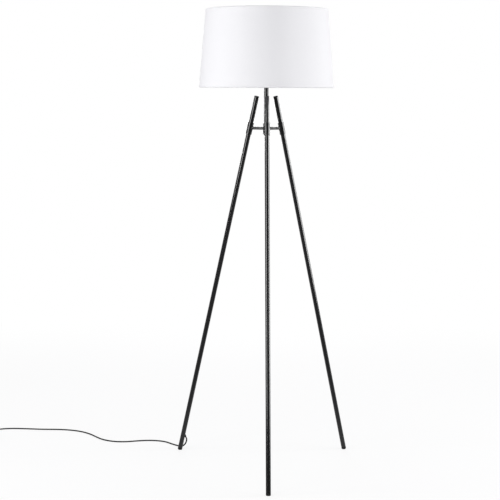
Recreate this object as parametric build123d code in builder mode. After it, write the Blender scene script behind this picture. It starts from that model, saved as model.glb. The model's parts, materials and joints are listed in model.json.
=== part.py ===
from build123d import *
from math import cos, pi, radians, sin, sqrt, tan
import os

# Tripod floor lamp with a white drum shade, in millimetres.
# The origin is on the floor under the lamp's axis, +Z is up and the front leg points along -Y.
os.makedirs("parts", exist_ok=True)

# Legs
leg_od = 16.0
leg_wall = 1.2
leg_tilt = 13.6
leg_reach = 62.0
leg_rise = 110.0
arm_height = 1158.0
leg_azimuths = {"front": 270.0, "right": 30.0, "left": 150.0}

# Push-in plugs of the tubes
cap_head = 2.4
cap_edge = 1.2
foot_head = 9.0
foot_round = 4.0
foot_bite = 0.5
fin_count = 3
fin_pitch = 5.0
fin_depth = 0.8
plug_gap = 0.08

# Sleeves, arms and hub
sleeve_length = 42.0
sleeve_wall = 2.0
sleeve_edge = 0.6
slide_gap = 0.08
arm_od = 10.0
arm_wall = 1.0
hub_od = 22.0
hub_length = 36.0
hub_edge = 0.8
hub_bore = 14.0
hub_cap_head = 2.0
hub_cap_lip = 1.5
stem_seat = 8.0
set_screw_od = 4.0
set_screw_drop = 13.0
set_screw_key = 2.0
set_screw_key_depth = 1.5
hub_screw_rise = 13.0

# Stem and its threaded fittings
stem_od = 16.0
stem_wall = 1.2
bush_head = 2.5
bush_shank = 14.0
bush_edge = 0.6
nipple_od = 10.0
nipple_bore = 7.0
nut_across = 14.0
nut_height = 3.0
washer_od = 17.0
washer_height = 0.8
thread_gap = 0.05

# Lampholder
holder_od = 40.0
holder_wall = 2.0
holder_neck_od = 22.0
holder_neck = 5.0
holder_shoulder_height = 12.0
holder_cap_height = 28.0
spigot_height = 6.0
flange_od = 46.0
flange_height = 3.0
barrel_od = 38.8
barrel_height = 27.0
insert_od = 32.4
insert_height = 8.0
ledge = 1.2
shell_height = 24.0
shell_wall = 0.6
shell_gap = 0.3
contact_rise = 4.0
contact_gauge = 0.6
contact_width = 6.0
contact_gap = 0.1
tongue_root = 9.5
tongue_bend = 4.7
tongue_flat = 2.8
terminal_spacing = 18.0
terminal_od = 3.2
terminal_head_od = 5.4
terminal_head = 2.2

# Bulb
bulb_cap_od = 26.4
bulb_cap_wall = 0.5
bulb_cap_height = 20.0
bulb_play = 0.4
bulb_contact_od = 8.4
bulb_contact_height = 1.6
bulb_insulator_height = 4.0
bulb_insulator_od = 21.0
bulb_neck_od = 27.6
bulb_globe_od = 60.0
bulb_rim_od = 52.0
bulb_housing_height = 38.0
bulb_flare = 1.5
bulb_wall = 1.4

# Shade and its wire frame
shade_rise = 135.0
shade_height = 257.0
shade_bottom_od = 450.0
shade_top_od = 406.0
cover_wall = 1.0
hem_wall = 0.5
hem_height = 8.0
hem_tuck = 4.0
ring_wire = 5.0
wire_gap = 0.1
fitter_recess = 42.0
fitter_od = 58.0
fitter_gauge = 2.0
fitter_play = 0.8
spoke_wire = 4.0
spoke_azimuths = {"back": 90.0, "left": 210.0, "right": 330.0}
seat_gap = 0.05
clamp_od = 56.0
clamp_flange = 3.0
clamp_height = 9.0
clamp_grip_od = 51.0
clamp_notches = 18
clamp_notch_od = 4.0
clamp_play = 0.4

# Supply cord
cord_od = 5.0
cord_bore_gap = 0.1
exit_height = 62.6
exit_angle = 40.0
exit_turn = 45.0
exit_bend = 12.0
hub_bend = 6.0
outlet_neck_od = 7.6
outlet_lip_od = 10.0
outlet_tip_od = 6.4
outlet_start = 6.0
outlet_mouth = 17.0
cord_lead = 7.0
bend_share = 0.45

# Foot switch on the cord
switch_x = -1020.0
switch_y = 285.0
switch_length = 84.0
switch_width = 40.0
switch_corner = 12.0
switch_split = 10.0
switch_top = 22.0
switch_wall = 2.0
switch_round = 4.0
switch_gap = 0.1
boss_od = 7.0
boss_spread = 29.0
switch_screw_od = 3.0
switch_screw_head_od = 5.6
switch_screw_head = 1.7
switch_screw_bite = 6.0
button_od = 30.0
button_proud = 5.0
button_flange_od = 34.0
button_flange = 2.0
button_round = 2.5
button_travel = 3.0
button_gap = 0.3
button_seat_od = 16.0
button_seat_depth = 3.0
spring_od = 13.0
spring_wire = 1.2
spring_turns = 4
spring_preload_gap = 0.3
strip_spacing = 22.0
strip_width = 4.0
strip_gauge = 0.8
strip_length = 44.0
post_size = 5.0
post_height = 5.0
relief_length = 20.0
relief_od = 10.4
relief_tip_od = 6.8
relief_neck_od = 8.0
relief_flange = 1.5
cord_end_inset = 6.0

# Coil of spare cord, its tie and the plug
coil_drop = 115.0
coil_radius = 34.0
coil_pitch = 5.7
coil_layer = 5.7
coil_quarters = 20
tie_wall = 1.0
tie_gap = 0.4
tie_slack = 0.7
tie_width = 8.0
tie_round = 2.0
plug_drop = 72.0
plug_relief = 28.0
plug_relief_od = 10.4
plug_relief_tip_od = 7.0
plug_bore_depth = 16.0
plug_length = 34.0
plug_waist = 17.0
plug_width = 35.0
plug_height = 13.6
plug_waist_width = 27.0
plug_throat_width = 13.0
plug_throat_height = 11.0
plug_throat_round = 4.0
plug_face_round = 4.5
pin_od = 4.0
pin_length = 19.0
pin_root = 6.0
pin_spacing = 18.6
pin_round = 1.2
floor_gap = 0.1

# Sizes that follow from the ones above
tilt_cos = cos(radians(leg_tilt))
leg_bore = leg_od - 2 * leg_wall
sleeve_bore = leg_od + 2 * slide_gap
sleeve_od = sleeve_bore + 2 * sleeve_wall
arm_bore = arm_od - 2 * arm_wall
leg_end = -(arm_height + foot_bite) / tilt_cos
stem_bore = stem_od - 2 * stem_wall
shade_bottom = arm_height + shade_rise
shade_top = shade_bottom + shade_height
shoulder_z = shade_bottom + fitter_recess
barrel_bottom = shoulder_z - flange_height
holder_bottom = barrel_bottom - holder_cap_height
stem_top = holder_bottom - washer_height - nut_height - bush_head
insert_bottom = barrel_bottom - spigot_height
insert_top = insert_bottom + insert_height
bulb_tip = insert_top + contact_rise + contact_gap
cord_radius = cord_od / 2
cord_bore = cord_od + 2 * cord_bore_gap
coil_z = tie_wall + tie_gap + cord_radius
plug_z = plug_height / 2 + floor_gap


def leg_frame(azimuth):
    """Frame on a leg's axis at arm height: z up along the leg, x leaning away from the lamp."""
    turn = radians(azimuth)
    tilt = radians(leg_tilt)
    return Plane(
        origin=(leg_reach * cos(turn), leg_reach * sin(turn), arm_height),
        x_dir=(cos(tilt) * cos(turn), cos(tilt) * sin(turn), sin(tilt)),
        z_dir=(-sin(tilt) * cos(turn), -sin(tilt) * sin(turn), cos(tilt)),
    )


def section_of(frame):
    """Plane through a frame's z axis, on which a profile is drawn to be turned about that axis."""
    return Plane(origin=frame.origin, x_dir=frame.x_dir, z_dir=-frame.y_dir)


def axis_of(frame):
    """Turning axis of a frame."""
    return Axis(frame.origin, frame.z_dir)


def screw_frame(frame):
    """Frame of a sleeve's set screw: z from the leg's axis towards the lamp's axis."""
    start = frame.from_local_coords((0, 0, -set_screw_drop))
    return Plane(origin=start, x_dir=frame.y_dir, z_dir=-frame.x_dir)


def arm_frame(azimuth):
    """Frame of an arm: z from the lamp's axis out to the leg."""
    turn = radians(azimuth)
    return Plane(origin=(0, 0, arm_height), x_dir=(0, 0, 1), z_dir=(cos(turn), sin(turn), 0))


def fin_profile(head_y, root_radius, step):
    """Sawtooth outline of a push-in plug's fins, going away from its head."""
    core_radius = root_radius - fin_depth
    points = []
    for fin in range(fin_count):
        start = head_y + step * fin * fin_pitch
        points.append((core_radius, start))
        points.append((core_radius, start + step * fin_pitch / 4))
        points.append((root_radius, start + step * fin_pitch / 2))
    points.append((core_radius, head_y + step * fin_count * fin_pitch))
    return points


def bend_radii(points):
    """Radius of the arc at each corner of a route, as large as its two runs allow."""
    corners = [Vector(*point) for point in points]
    radii = []
    for before, corner, after in zip(corners, corners[1:], corners[2:]):
        first = corner - before
        second = after - corner
        half_turn = radians(first.get_angle(second)) / 2
        radii.append(bend_share * min(first.length, second.length) / tan(half_turn))
    return radii


def draw_biarcs(stations):
    """Draw pairs of tangent arcs through stations, each a point and the direction of travel."""
    for (start, heading), (end, leaving) in zip(stations, stations[1:]):
        chord = end - start
        along = chord.dot(heading + leaving)
        spread = 2 * (1 - heading.dot(leaving))
        reach = (sqrt(along**2 + spread * chord.dot(chord)) - along) / spread
        first_leg = start + heading * reach
        second_leg = end - leaving * reach
        middle = (first_leg + second_leg) * 0.5
        TangentArc(start, middle, tangent=heading)
        TangentArc(middle, end, tangent=second_leg - first_leg)


def least_self_gap(path, wire_od, samples=480):
    """Least clear gap between the turns of a wound wire, measured on points along it."""
    length = path.length
    points = [tuple(path.position_at(step / samples)) for step in range(samples + 1)]
    apart = int(3 * wire_od / length * samples) + 1
    least = length
    for index, (x, y, z) in enumerate(points):
        for other in points[index + apart:]:
            gap = sqrt((x - other[0])**2 + (y - other[1])**2 + (z - other[2])**2)
            least = min(least, gap)
    return least - wire_od


# Places that several pieces share
left_frame = leg_frame(leg_azimuths["left"])
exit_start = left_frame.from_local_coords((0, 0, (exit_height - arm_height) / tilt_cos))
exit_side = (
    left_frame.x_dir * -cos(radians(exit_turn)) + left_frame.y_dir * -sin(radians(exit_turn))
)
exit_dir = left_frame.z_dir * -cos(radians(exit_angle)) + exit_side * sin(radians(exit_angle))
exit_frame = Plane(origin=exit_start, x_dir=left_frame.y_dir.cross(exit_dir), z_dir=exit_dir)
cord_mouth = exit_start + exit_dir * outlet_mouth

# Leg tubes, with a hole for the set screw and, in the left one, for the cord
for side, azimuth in leg_azimuths.items():
    frame = leg_frame(azimuth)
    with BuildPart() as leg:
        with BuildSketch(frame.offset(leg_end + foot_head)):
            Circle(leg_od / 2)
            Circle(leg_bore / 2, mode=Mode.SUBTRACT)
        extrude(amount=leg_rise - cap_head - leg_end - foot_head)
        with BuildSketch(screw_frame(frame)):
            Circle(set_screw_od / 2 + thread_gap)
        extrude(amount=leg_od, mode=Mode.SUBTRACT)
        if side == "left":
            with BuildSketch(arm_frame(azimuth)):
                Circle(arm_bore / 2)
            extrude(amount=leg_reach, mode=Mode.SUBTRACT)
            with BuildSketch(exit_frame):
                Circle(outlet_neck_od / 2 + plug_gap)
            extrude(amount=outlet_mouth + leg_od, mode=Mode.SUBTRACT)
    leg.part.label = f"leg_{side}"
    export_step(leg.part, f"parts/leg_{side}.step")

# Caps pushed into the upper ends of the legs
for side, azimuth in leg_azimuths.items():
    frame = leg_frame(azimuth)
    seat = leg_rise - cap_head
    with BuildPart() as leg_cap:
        with BuildSketch(section_of(frame)):
            with BuildLine():
                Line((0, leg_rise), (leg_od / 2 - cap_edge, leg_rise))
                CenterArc((leg_od / 2 - cap_edge, leg_rise - cap_edge), cap_edge, 0, 90)
                Polyline(
                    (leg_od / 2, leg_rise - cap_edge),
                    (leg_od / 2, seat),
                    *fin_profile(seat, leg_bore / 2 - plug_gap, -1),
                    (0, seat - fin_count * fin_pitch),
                    (0, leg_rise),
                )
            make_face()
        revolve(axis=axis_of(frame))
    leg_cap.part.label = f"leg_cap_{side}"
    export_step(leg_cap.part, f"parts/leg_cap_{side}.step")

# Feet pushed into the lower ends of the legs, rounded and worn flat on the floor
for side, azimuth in leg_azimuths.items():
    frame = leg_frame(azimuth)
    seat = leg_end + foot_head
    with BuildPart() as foot:
        with BuildSketch(section_of(frame)):
            with BuildLine():
                Line((0, leg_end), (leg_od / 2 - foot_round, leg_end))
                CenterArc((leg_od / 2 - foot_round, leg_end + foot_round), foot_round, -90, 90)
                Polyline(
                    (leg_od / 2, leg_end + foot_round),
                    (leg_od / 2, seat),
                    *fin_profile(seat, leg_bore / 2 - plug_gap, 1),
                    (0, seat + fin_count * fin_pitch),
                    (0, leg_end),
                )
            make_face()
        revolve(axis=axis_of(frame))
        split(bisect_by=Plane.XY, keep=Keep.TOP)
    foot.part.label = f"foot_{side}"
    export_step(foot.part, f"parts/foot_{side}.step")

# Sleeves that hold the legs
for side, azimuth in leg_azimuths.items():
    frame = leg_frame(azimuth)
    with BuildPart() as sleeve:
        with BuildSketch(frame.offset(-sleeve_length / 2)):
            Circle(sleeve_od / 2)
            Circle(sleeve_bore / 2, mode=Mode.SUBTRACT)
        extrude(amount=sleeve_length)
        rims = sleeve.edges().filter_by(GeomType.CIRCLE)
        chamfer([rim for rim in rims if rim.radius > sleeve_bore / 2 + sleeve_wall / 2], sleeve_edge)
        with BuildSketch(screw_frame(frame)):
            Circle(set_screw_od / 2 + thread_gap)
        extrude(amount=sleeve_od, mode=Mode.SUBTRACT)
        if side == "left":
            with BuildSketch(arm_frame(azimuth)):
                Circle(arm_bore / 2)
            extrude(amount=leg_reach, mode=Mode.SUBTRACT)
    sleeve.part.label = f"sleeve_{side}"
    export_step(sleeve.part, f"parts/sleeve_{side}.step")

# Arms between the hub and the sleeves, cut to the round of both
for side, azimuth in leg_azimuths.items():
    with BuildPart() as arm:
        with BuildSketch(arm_frame(azimuth)):
            Circle(arm_od / 2)
            Circle(arm_bore / 2, mode=Mode.SUBTRACT)
        extrude(amount=leg_reach)
        with BuildSketch(Plane.XY.offset(arm_height)):
            Circle(hub_od / 2)
        extrude(amount=hub_length, both=True, mode=Mode.SUBTRACT)
        with BuildSketch(leg_frame(azimuth)):
            Circle(sleeve_od / 2)
        extrude(amount=sleeve_length, both=True, mode=Mode.SUBTRACT)
    arm.part.label = f"arm_{side}"
    export_step(arm.part, f"parts/arm_{side}.step")

# Hub in the middle, with a seat for the stem and a way through for the cord
hub_low = arm_height - hub_length / 2
hub_high = arm_height + hub_length / 2
hub_screw_frame = Plane(
    origin=(0, 0, arm_height + hub_screw_rise), x_dir=(1, 0, 0), z_dir=(0, 1, 0)
)
with BuildPart() as hub:
    with BuildSketch(Plane.XY.offset(hub_low)):
        Circle(hub_od / 2)
    extrude(amount=hub_length)
    chamfer(hub.edges().group_by(Axis.Z)[-1], hub_edge)
    with BuildSketch(Plane.XY.offset(hub_low)):
        Circle(hub_bore / 2)
    extrude(amount=hub_length, mode=Mode.SUBTRACT)
    with BuildSketch(Plane.XY.offset(arm_height + stem_seat)):
        Circle(stem_od / 2 + slide_gap)
    extrude(amount=hub_length, mode=Mode.SUBTRACT)
    with BuildSketch(hub_screw_frame):
        Circle(set_screw_od / 2 + thread_gap)
    extrude(amount=hub_od, mode=Mode.SUBTRACT)
    with BuildSketch(arm_frame(leg_azimuths["left"])):
        Circle(arm_bore / 2)
    extrude(amount=hub_od, mode=Mode.SUBTRACT)
hub.part.label = "hub"
export_step(hub.part, "parts/hub.step")

with BuildPart() as hub_cap:
    with BuildSketch(Plane.XZ):
        with BuildLine():
            Polyline(
                (0, hub_low - hub_cap_head),
                (hub_od / 2 - hub_cap_lip, hub_low - hub_cap_head),
                (hub_od / 2, hub_low - hub_cap_head + hub_cap_lip),
                (hub_od / 2, hub_low),
                (hub_bore / 2 - plug_gap, hub_low),
                (hub_bore / 2 - plug_gap, hub_low + fin_pitch),
                (0, hub_low + fin_pitch),
                close=True,
            )
        make_face()
    revolve(axis=Axis.Z)
hub_cap.part.label = "hub_cap"
export_step(hub_cap.part, "parts/hub_cap.step")

# Set screws: one through each sleeve into its leg, and one through the hub into the stem
screw_specs = [(screw_frame(leg_frame(a)), leg_bore / 2, sleeve_od / 2) for a in leg_azimuths.values()]
screw_specs.append((hub_screw_frame, stem_bore / 2, hub_od / 2))
with BuildPart() as set_screws:
    for frame, tip, face in screw_specs:
        with BuildSketch(frame.offset(tip)):
            Circle(set_screw_od / 2)
        extrude(amount=face - tip)
        with BuildSketch(frame.offset(face - set_screw_key_depth)):
            RegularPolygon(set_screw_key / 2, 6, major_radius=False)
        extrude(amount=sleeve_wall, mode=Mode.SUBTRACT)
set_screws.part.label = "set_screws"
export_step(set_screws.part, "parts/set_screws.step")

# Stem tube up to the lampholder
with BuildPart() as stem:
    with BuildSketch(Plane.XY.offset(arm_height + stem_seat)):
        Circle(stem_od / 2)
        Circle(stem_bore / 2, mode=Mode.SUBTRACT)
    extrude(amount=stem_top - arm_height - stem_seat)
    with BuildSketch(hub_screw_frame):
        Circle(set_screw_od / 2 + thread_gap)
    extrude(amount=stem_od, mode=Mode.SUBTRACT)
stem.part.label = "stem"
export_step(stem.part, "parts/stem.step")

# Threaded bush in the top of the stem, and the hollow nipple, lock nut and washer above it
with BuildPart() as stem_bush:
    with BuildSketch(Plane.XY.offset(stem_top - bush_shank)):
        Circle(stem_bore / 2 - plug_gap)
    extrude(amount=bush_shank)
    with BuildSketch(Plane.XY.offset(stem_top)):
        Circle(stem_od / 2)
    extrude(amount=bush_head)
    chamfer(stem_bush.edges().group_by(Axis.Z)[-1], bush_edge)
    with BuildSketch(Plane.XY.offset(stem_top - bush_shank)):
        Circle(nipple_od / 2 + thread_gap)
    extrude(amount=bush_shank + bush_head, mode=Mode.SUBTRACT)
stem_bush.part.label = "stem_bush"
export_step(stem_bush.part, "parts/stem_bush.step")

nipple_low = stem_top - bush_shank
nipple_high = holder_bottom + holder_neck
with BuildPart() as nipple:
    with BuildSketch(Plane.XY.offset(nipple_low)):
        Circle(nipple_od / 2)
        Circle(nipple_bore / 2, mode=Mode.SUBTRACT)
    extrude(amount=nipple_high - nipple_low)
nipple.part.label = "nipple"
export_step(nipple.part, "parts/nipple.step")

with BuildPart() as lock_nut:
    with BuildSketch(Plane.XY.offset(stem_top + bush_head)):
        RegularPolygon(nut_across / 2, 6, major_radius=False)
        Circle(nipple_od / 2 + thread_gap, mode=Mode.SUBTRACT)
    extrude(amount=nut_height)
lock_nut.part.label = "lock_nut"
export_step(lock_nut.part, "parts/lock_nut.step")

with BuildPart() as lock_washer:
    with BuildSketch(Plane.XY.offset(holder_bottom - washer_height)):
        Circle(washer_od / 2)
        Circle(nipple_od / 2 + thread_gap, mode=Mode.SUBTRACT)
    extrude(amount=washer_height)
lock_washer.part.label = "lock_washer"
export_step(lock_washer.part, "parts/lock_washer.step")

# Lampholder: domed cap, threaded barrel with its shoulder, contact insert, screw shell, contacts
spigot_od = holder_od - 2 * holder_wall - 2 * thread_gap
with BuildPart() as holder_cap:
    with BuildSketch(Plane.XZ):
        with BuildLine():
            Polyline(
                (nipple_od / 2 + thread_gap, holder_bottom),
                (holder_neck_od / 2, holder_bottom),
                (holder_neck_od / 2, holder_bottom + holder_neck),
                (holder_od / 2, holder_bottom + holder_shoulder_height),
                (holder_od / 2, barrel_bottom),
                (holder_od / 2 - holder_wall, barrel_bottom),
                (holder_od / 2 - holder_wall, insert_bottom),
                (insert_od / 2 - ledge, insert_bottom),
                (insert_od / 2 - ledge, holder_bottom + holder_shoulder_height),
                (nipple_od / 2 + thread_gap, holder_bottom + holder_neck),
                close=True,
            )
        make_face()
    revolve(axis=Axis.Z)
holder_cap.part.label = "holder_cap"
export_step(holder_cap.part, "parts/holder_cap.step")

shell_od = bulb_cap_od + 2 * bulb_play + 2 * shell_wall
barrel_top = shoulder_z + barrel_height
with BuildPart() as holder_barrel:
    with BuildSketch(Plane.XZ):
        with BuildLine():
            Polyline(
                (insert_od / 2 + thread_gap, insert_bottom),
                (spigot_od / 2, insert_bottom),
                (spigot_od / 2, barrel_bottom),
                (flange_od / 2, barrel_bottom),
                (flange_od / 2, shoulder_z),
                (barrel_od / 2, shoulder_z),
                (barrel_od / 2, barrel_top),
                (shell_od / 2 + shell_gap, barrel_top),
                (shell_od / 2 + shell_gap, insert_top),
                (insert_od / 2 + thread_gap, insert_top),
                close=True,
            )
        make_face()
    revolve(axis=Axis.Z)
holder_barrel.part.label = "holder_barrel"
export_step(holder_barrel.part, "parts/holder_barrel.step")

with BuildPart() as contact_insert:
    with BuildSketch(Plane.XY.offset(insert_bottom)):
        Circle(insert_od / 2)
    extrude(amount=insert_height)
    with BuildSketch(Plane.XY.offset(insert_bottom)):
        with Locations((-terminal_spacing / 2, 0), (terminal_spacing / 2, 0)):
            Circle(terminal_od / 2 + thread_gap)
    extrude(amount=insert_height / 2, mode=Mode.SUBTRACT)
contact_insert.part.label = "contact_insert"
export_step(contact_insert.part, "parts/contact_insert.step")

with BuildPart() as terminal_screws:
    with BuildSketch(Plane.XY.offset(insert_bottom - terminal_head)):
        with Locations((-terminal_spacing / 2, 0), (terminal_spacing / 2, 0)):
            Circle(terminal_head_od / 2)
    extrude(amount=terminal_head)
    with BuildSketch(Plane.XY.offset(insert_bottom)):
        with Locations((-terminal_spacing / 2, 0), (terminal_spacing / 2, 0)):
            Circle(terminal_od / 2)
    extrude(amount=insert_height / 2)
terminal_screws.part.label = "terminal_screws"
export_step(terminal_screws.part, "parts/terminal_screws.step")

with BuildPart() as screw_shell:
    with BuildSketch(Plane.XY.offset(insert_top)):
        Circle(shell_od / 2)
        Circle(shell_od / 2 - shell_wall, mode=Mode.SUBTRACT)
    extrude(amount=shell_height)
screw_shell.part.label = "screw_shell"
export_step(screw_shell.part, "parts/screw_shell.step")

tongue_top = insert_top + contact_rise - contact_gauge / 2
with BuildPart() as centre_contact:
    with BuildSketch(Plane.XZ.offset(-contact_width / 2)):
        with BuildLine():
            Polyline(
                (-tongue_root, insert_top + contact_gauge / 2),
                (-tongue_bend, insert_top + contact_gauge / 2),
                (-tongue_flat, tongue_top),
                (bulb_contact_od / 2, tongue_top),
            )
        trace(line_width=contact_gauge)
    extrude(amount=contact_width)
centre_contact.part.label = "centre_contact"
export_step(centre_contact.part, "parts/centre_contact.step")

# Bulb: tip contact, insulator, screw cap, housing and opal globe
insulator_low = bulb_tip + bulb_contact_height
cap_low = insulator_low + bulb_insulator_height
housing_low = cap_low + bulb_cap_height
globe_low = housing_low + bulb_housing_height
with BuildPart() as bulb_contact:
    with BuildSketch(Plane.XY.offset(bulb_tip)):
        Circle(bulb_contact_od / 2)
    extrude(amount=bulb_contact_height)
    fillet(bulb_contact.edges().group_by(Axis.Z)[0], bulb_contact_height / 2)
bulb_contact.part.label = "bulb_contact"
export_step(bulb_contact.part, "parts/bulb_contact.step")

with BuildPart() as bulb_insulator:
    with BuildSketch(Plane.XZ):
        with BuildLine():
            Polyline(
                (0, insulator_low + seat_gap),
                (bulb_contact_od / 2, insulator_low + seat_gap),
                (bulb_insulator_od / 2, cap_low),
                (0, cap_low),
                close=True,
            )
        make_face()
    revolve(axis=Axis.Z)
bulb_insulator.part.label = "bulb_insulator"
export_step(bulb_insulator.part, "parts/bulb_insulator.step")

with BuildPart() as bulb_cap:
    with BuildSketch(Plane.XY.offset(cap_low)):
        Circle(bulb_cap_od / 2)
    extrude(amount=bulb_cap_height)
    chamfer(bulb_cap.edges().group_by(Axis.Z)[0], (bulb_cap_od - bulb_insulator_od) / 4)
    with BuildSketch(Plane.XY.offset(cap_low + bulb_cap_wall)):
        Circle(bulb_insulator_od / 2 - bulb_cap_wall)
    extrude(amount=bulb_cap_height, mode=Mode.SUBTRACT)
bulb_cap.part.label = "bulb_cap"
export_step(bulb_cap.part, "parts/bulb_cap.step")

with BuildPart() as bulb_housing:
    with BuildSketch(Plane.XZ):
        with BuildLine():
            neck = Line((bulb_cap_od / 2, housing_low), (bulb_neck_od / 2, housing_low))
            flare = SagittaArc(neck @ 1, (bulb_rim_od / 2, globe_low), bulb_flare)
            rim = Line(flare @ 1, (bulb_rim_od / 2 - bulb_wall, globe_low))
            inner = SagittaArc(rim @ 1, (bulb_neck_od / 2 - bulb_wall, housing_low + bulb_wall), -bulb_flare)
            floor_line = Line(inner @ 1, (0, housing_low + bulb_wall))
            Polyline(floor_line @ 1, (0, housing_low), neck @ 0)
        make_face()
    revolve(axis=Axis.Z)
bulb_housing.part.label = "bulb_housing"
export_step(bulb_housing.part, "parts/bulb_housing.step")

globe_drop = sqrt(bulb_globe_od**2 - bulb_rim_od**2) / 2
globe_z = globe_low + globe_drop
with BuildPart() as bulb_globe:
    with Locations((0, 0, globe_z)):
        Sphere(bulb_globe_od / 2)
        Sphere(bulb_globe_od / 2 - bulb_wall, mode=Mode.SUBTRACT)
    split(bisect_by=Plane.XY.offset(globe_low), keep=Keep.TOP)
bulb_globe.part.label = "bulb_globe"
export_step(bulb_globe.part, "parts/bulb_globe.step")

# Shade cover, a tapered sheet between the two hems
cover_low = shade_bottom + hem_wall
cover_high = shade_top - hem_wall
cover_slope = (shade_top_od - shade_bottom_od) / 2 / shade_height


def cover_radius(height):
    """Outer radius of the shade's cover at a height."""
    return shade_bottom_od / 2 - hem_wall + cover_slope * (height - shade_bottom)


with BuildPart() as shade_cover:
    with BuildSketch(Plane.XZ):
        with BuildLine():
            Polyline(
                (cover_radius(cover_low), cover_low),
                (cover_radius(cover_high), cover_high),
                (cover_radius(cover_high) - cover_wall, cover_high),
                (cover_radius(cover_low) - cover_wall, cover_low),
                close=True,
            )
        make_face()
    revolve(axis=Axis.Z)
shade_cover.part.label = "shade_cover"
export_step(shade_cover.part, "parts/shade_cover.step")

# Wire rings inside the hems
lower_ring_z = cover_low + ring_wire / 2 + wire_gap
upper_ring_z = cover_high - ring_wire / 2 - wire_gap
ring_inset = cover_wall + ring_wire / 2 + wire_gap
lower_ring_radius = cover_radius(lower_ring_z + ring_wire / 2) - ring_inset
upper_ring_radius = cover_radius(upper_ring_z + ring_wire / 2) - ring_inset
ring_specs = {
    "lower": (lower_ring_radius, lower_ring_z),
    "upper": (upper_ring_radius, upper_ring_z),
}
for place, (radius, height) in ring_specs.items():
    with BuildPart() as shade_ring:
        with Locations((0, 0, height)):
            Torus(radius, ring_wire / 2)
    shade_ring.part.label = f"{place}_ring"
    export_step(shade_ring.part, f"parts/{place}_ring.step")

# Spokes from the lower ring up to the fitter ring, cut to the round of both
fitter_low = shoulder_z + seat_gap
fitter_mid = fitter_low + fitter_gauge / 2
spoke_rise = (fitter_mid - lower_ring_z) / (lower_ring_radius - fitter_od / 2)


def spoke_frame(azimuth):
    """Frame at a spoke's outer end on the lower ring: z in along the spoke."""
    turn = radians(azimuth)
    outer = (lower_ring_radius * cos(turn), lower_ring_radius * sin(turn), lower_ring_z)
    return Plane(origin=outer, x_dir=(-sin(turn), cos(turn), 0), z_dir=(-cos(turn), -sin(turn), spoke_rise))


spoke_length = lower_ring_radius * sqrt(1 + spoke_rise**2)
for side, azimuth in spoke_azimuths.items():
    with BuildPart() as spoke:
        with BuildSketch(spoke_frame(azimuth)):
            Circle(spoke_wire / 2)
        extrude(amount=spoke_length)
        with BuildSketch(Plane.XY.offset(fitter_mid)):
            Circle(fitter_od / 2)
        extrude(amount=fitter_recess, both=True, mode=Mode.SUBTRACT)
        with Locations((0, 0, lower_ring_z)):
            Torus(lower_ring_radius, ring_wire / 2, mode=Mode.SUBTRACT)
    spoke.part.label = f"spoke_{side}"
    export_step(spoke.part, f"parts/spoke_{side}.step")


def hem_outline(edge_z, away, ring_radius):
    """Section of a hem: outside lip, fold over the edge, and the part tucked in behind the ring."""
    lip_z = edge_z - away * hem_height
    tuck_z = edge_z - away * (ring_wire + 2 * wire_gap)
    end_z = tuck_z - away * hem_tuck
    behind = ring_radius - ring_wire / 2 - wire_gap
    outside = [
        (cover_radius(lip_z) + hem_wall, lip_z),
        (cover_radius(edge_z) + hem_wall, edge_z + away * hem_wall),
        (behind - hem_wall, edge_z + away * hem_wall),
        (behind - hem_wall, tuck_z),
        (cover_radius(end_z) - cover_wall, end_z),
    ]
    inside = [
        (cover_radius(end_z + away * hem_wall) - cover_wall, end_z + away * hem_wall),
        (behind, tuck_z),
        (behind, edge_z),
        (cover_radius(edge_z), edge_z),
        (cover_radius(lip_z), lip_z),
    ]
    return outside + inside


# Hems folded over the edges of the cover and the rings inside them
hem_specs = {
    "lower": (cover_low, -1, lower_ring_radius),
    "upper": (cover_high, 1, upper_ring_radius),
}
for place, (edge_z, away, ring_radius) in hem_specs.items():
    with BuildPart() as hem:
        with BuildSketch(Plane.XZ):
            with BuildLine():
                Polyline(*hem_outline(edge_z, away, ring_radius), close=True)
            make_face()
        revolve(axis=Axis.Z)
        if place == "lower":
            for azimuth in spoke_azimuths.values():
                with BuildSketch(spoke_frame(azimuth)):
                    Circle(spoke_wire / 2 + wire_gap)
                extrude(amount=ring_inset + hem_tuck + spoke_wire, mode=Mode.SUBTRACT)
    hem.part.label = f"{place}_hem"
    export_step(hem.part, f"parts/{place}_hem.step")

# Fitter ring that sits on the lampholder's shoulder, and the clamp ring screwed down on it
with BuildPart() as fitter_ring:
    with BuildSketch(Plane.XY.offset(fitter_low)):
        Circle(fitter_od / 2)
        Circle(barrel_od / 2 + fitter_play, mode=Mode.SUBTRACT)
    extrude(amount=fitter_gauge)
fitter_ring.part.label = "fitter_ring"
export_step(fitter_ring.part, "parts/fitter_ring.step")

clamp_low = fitter_low + fitter_gauge + seat_gap
with BuildPart() as clamp_ring:
    with BuildSketch(Plane.XY.offset(clamp_low)):
        Circle(clamp_od / 2)
    extrude(amount=clamp_flange)
    with BuildSketch(Plane.XY.offset(clamp_low + clamp_flange)):
        Circle(clamp_grip_od / 2)
        with PolarLocations(clamp_grip_od / 2, clamp_notches):
            Circle(clamp_notch_od / 2, mode=Mode.SUBTRACT)
    extrude(amount=clamp_height - clamp_flange)
    with BuildSketch(Plane.XY.offset(clamp_low)):
        Circle(barrel_od / 2 + clamp_play)
    extrude(amount=clamp_height, mode=Mode.SUBTRACT)
clamp_ring.part.label = "clamp_ring"
export_step(clamp_ring.part, "parts/clamp_ring.step")

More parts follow.
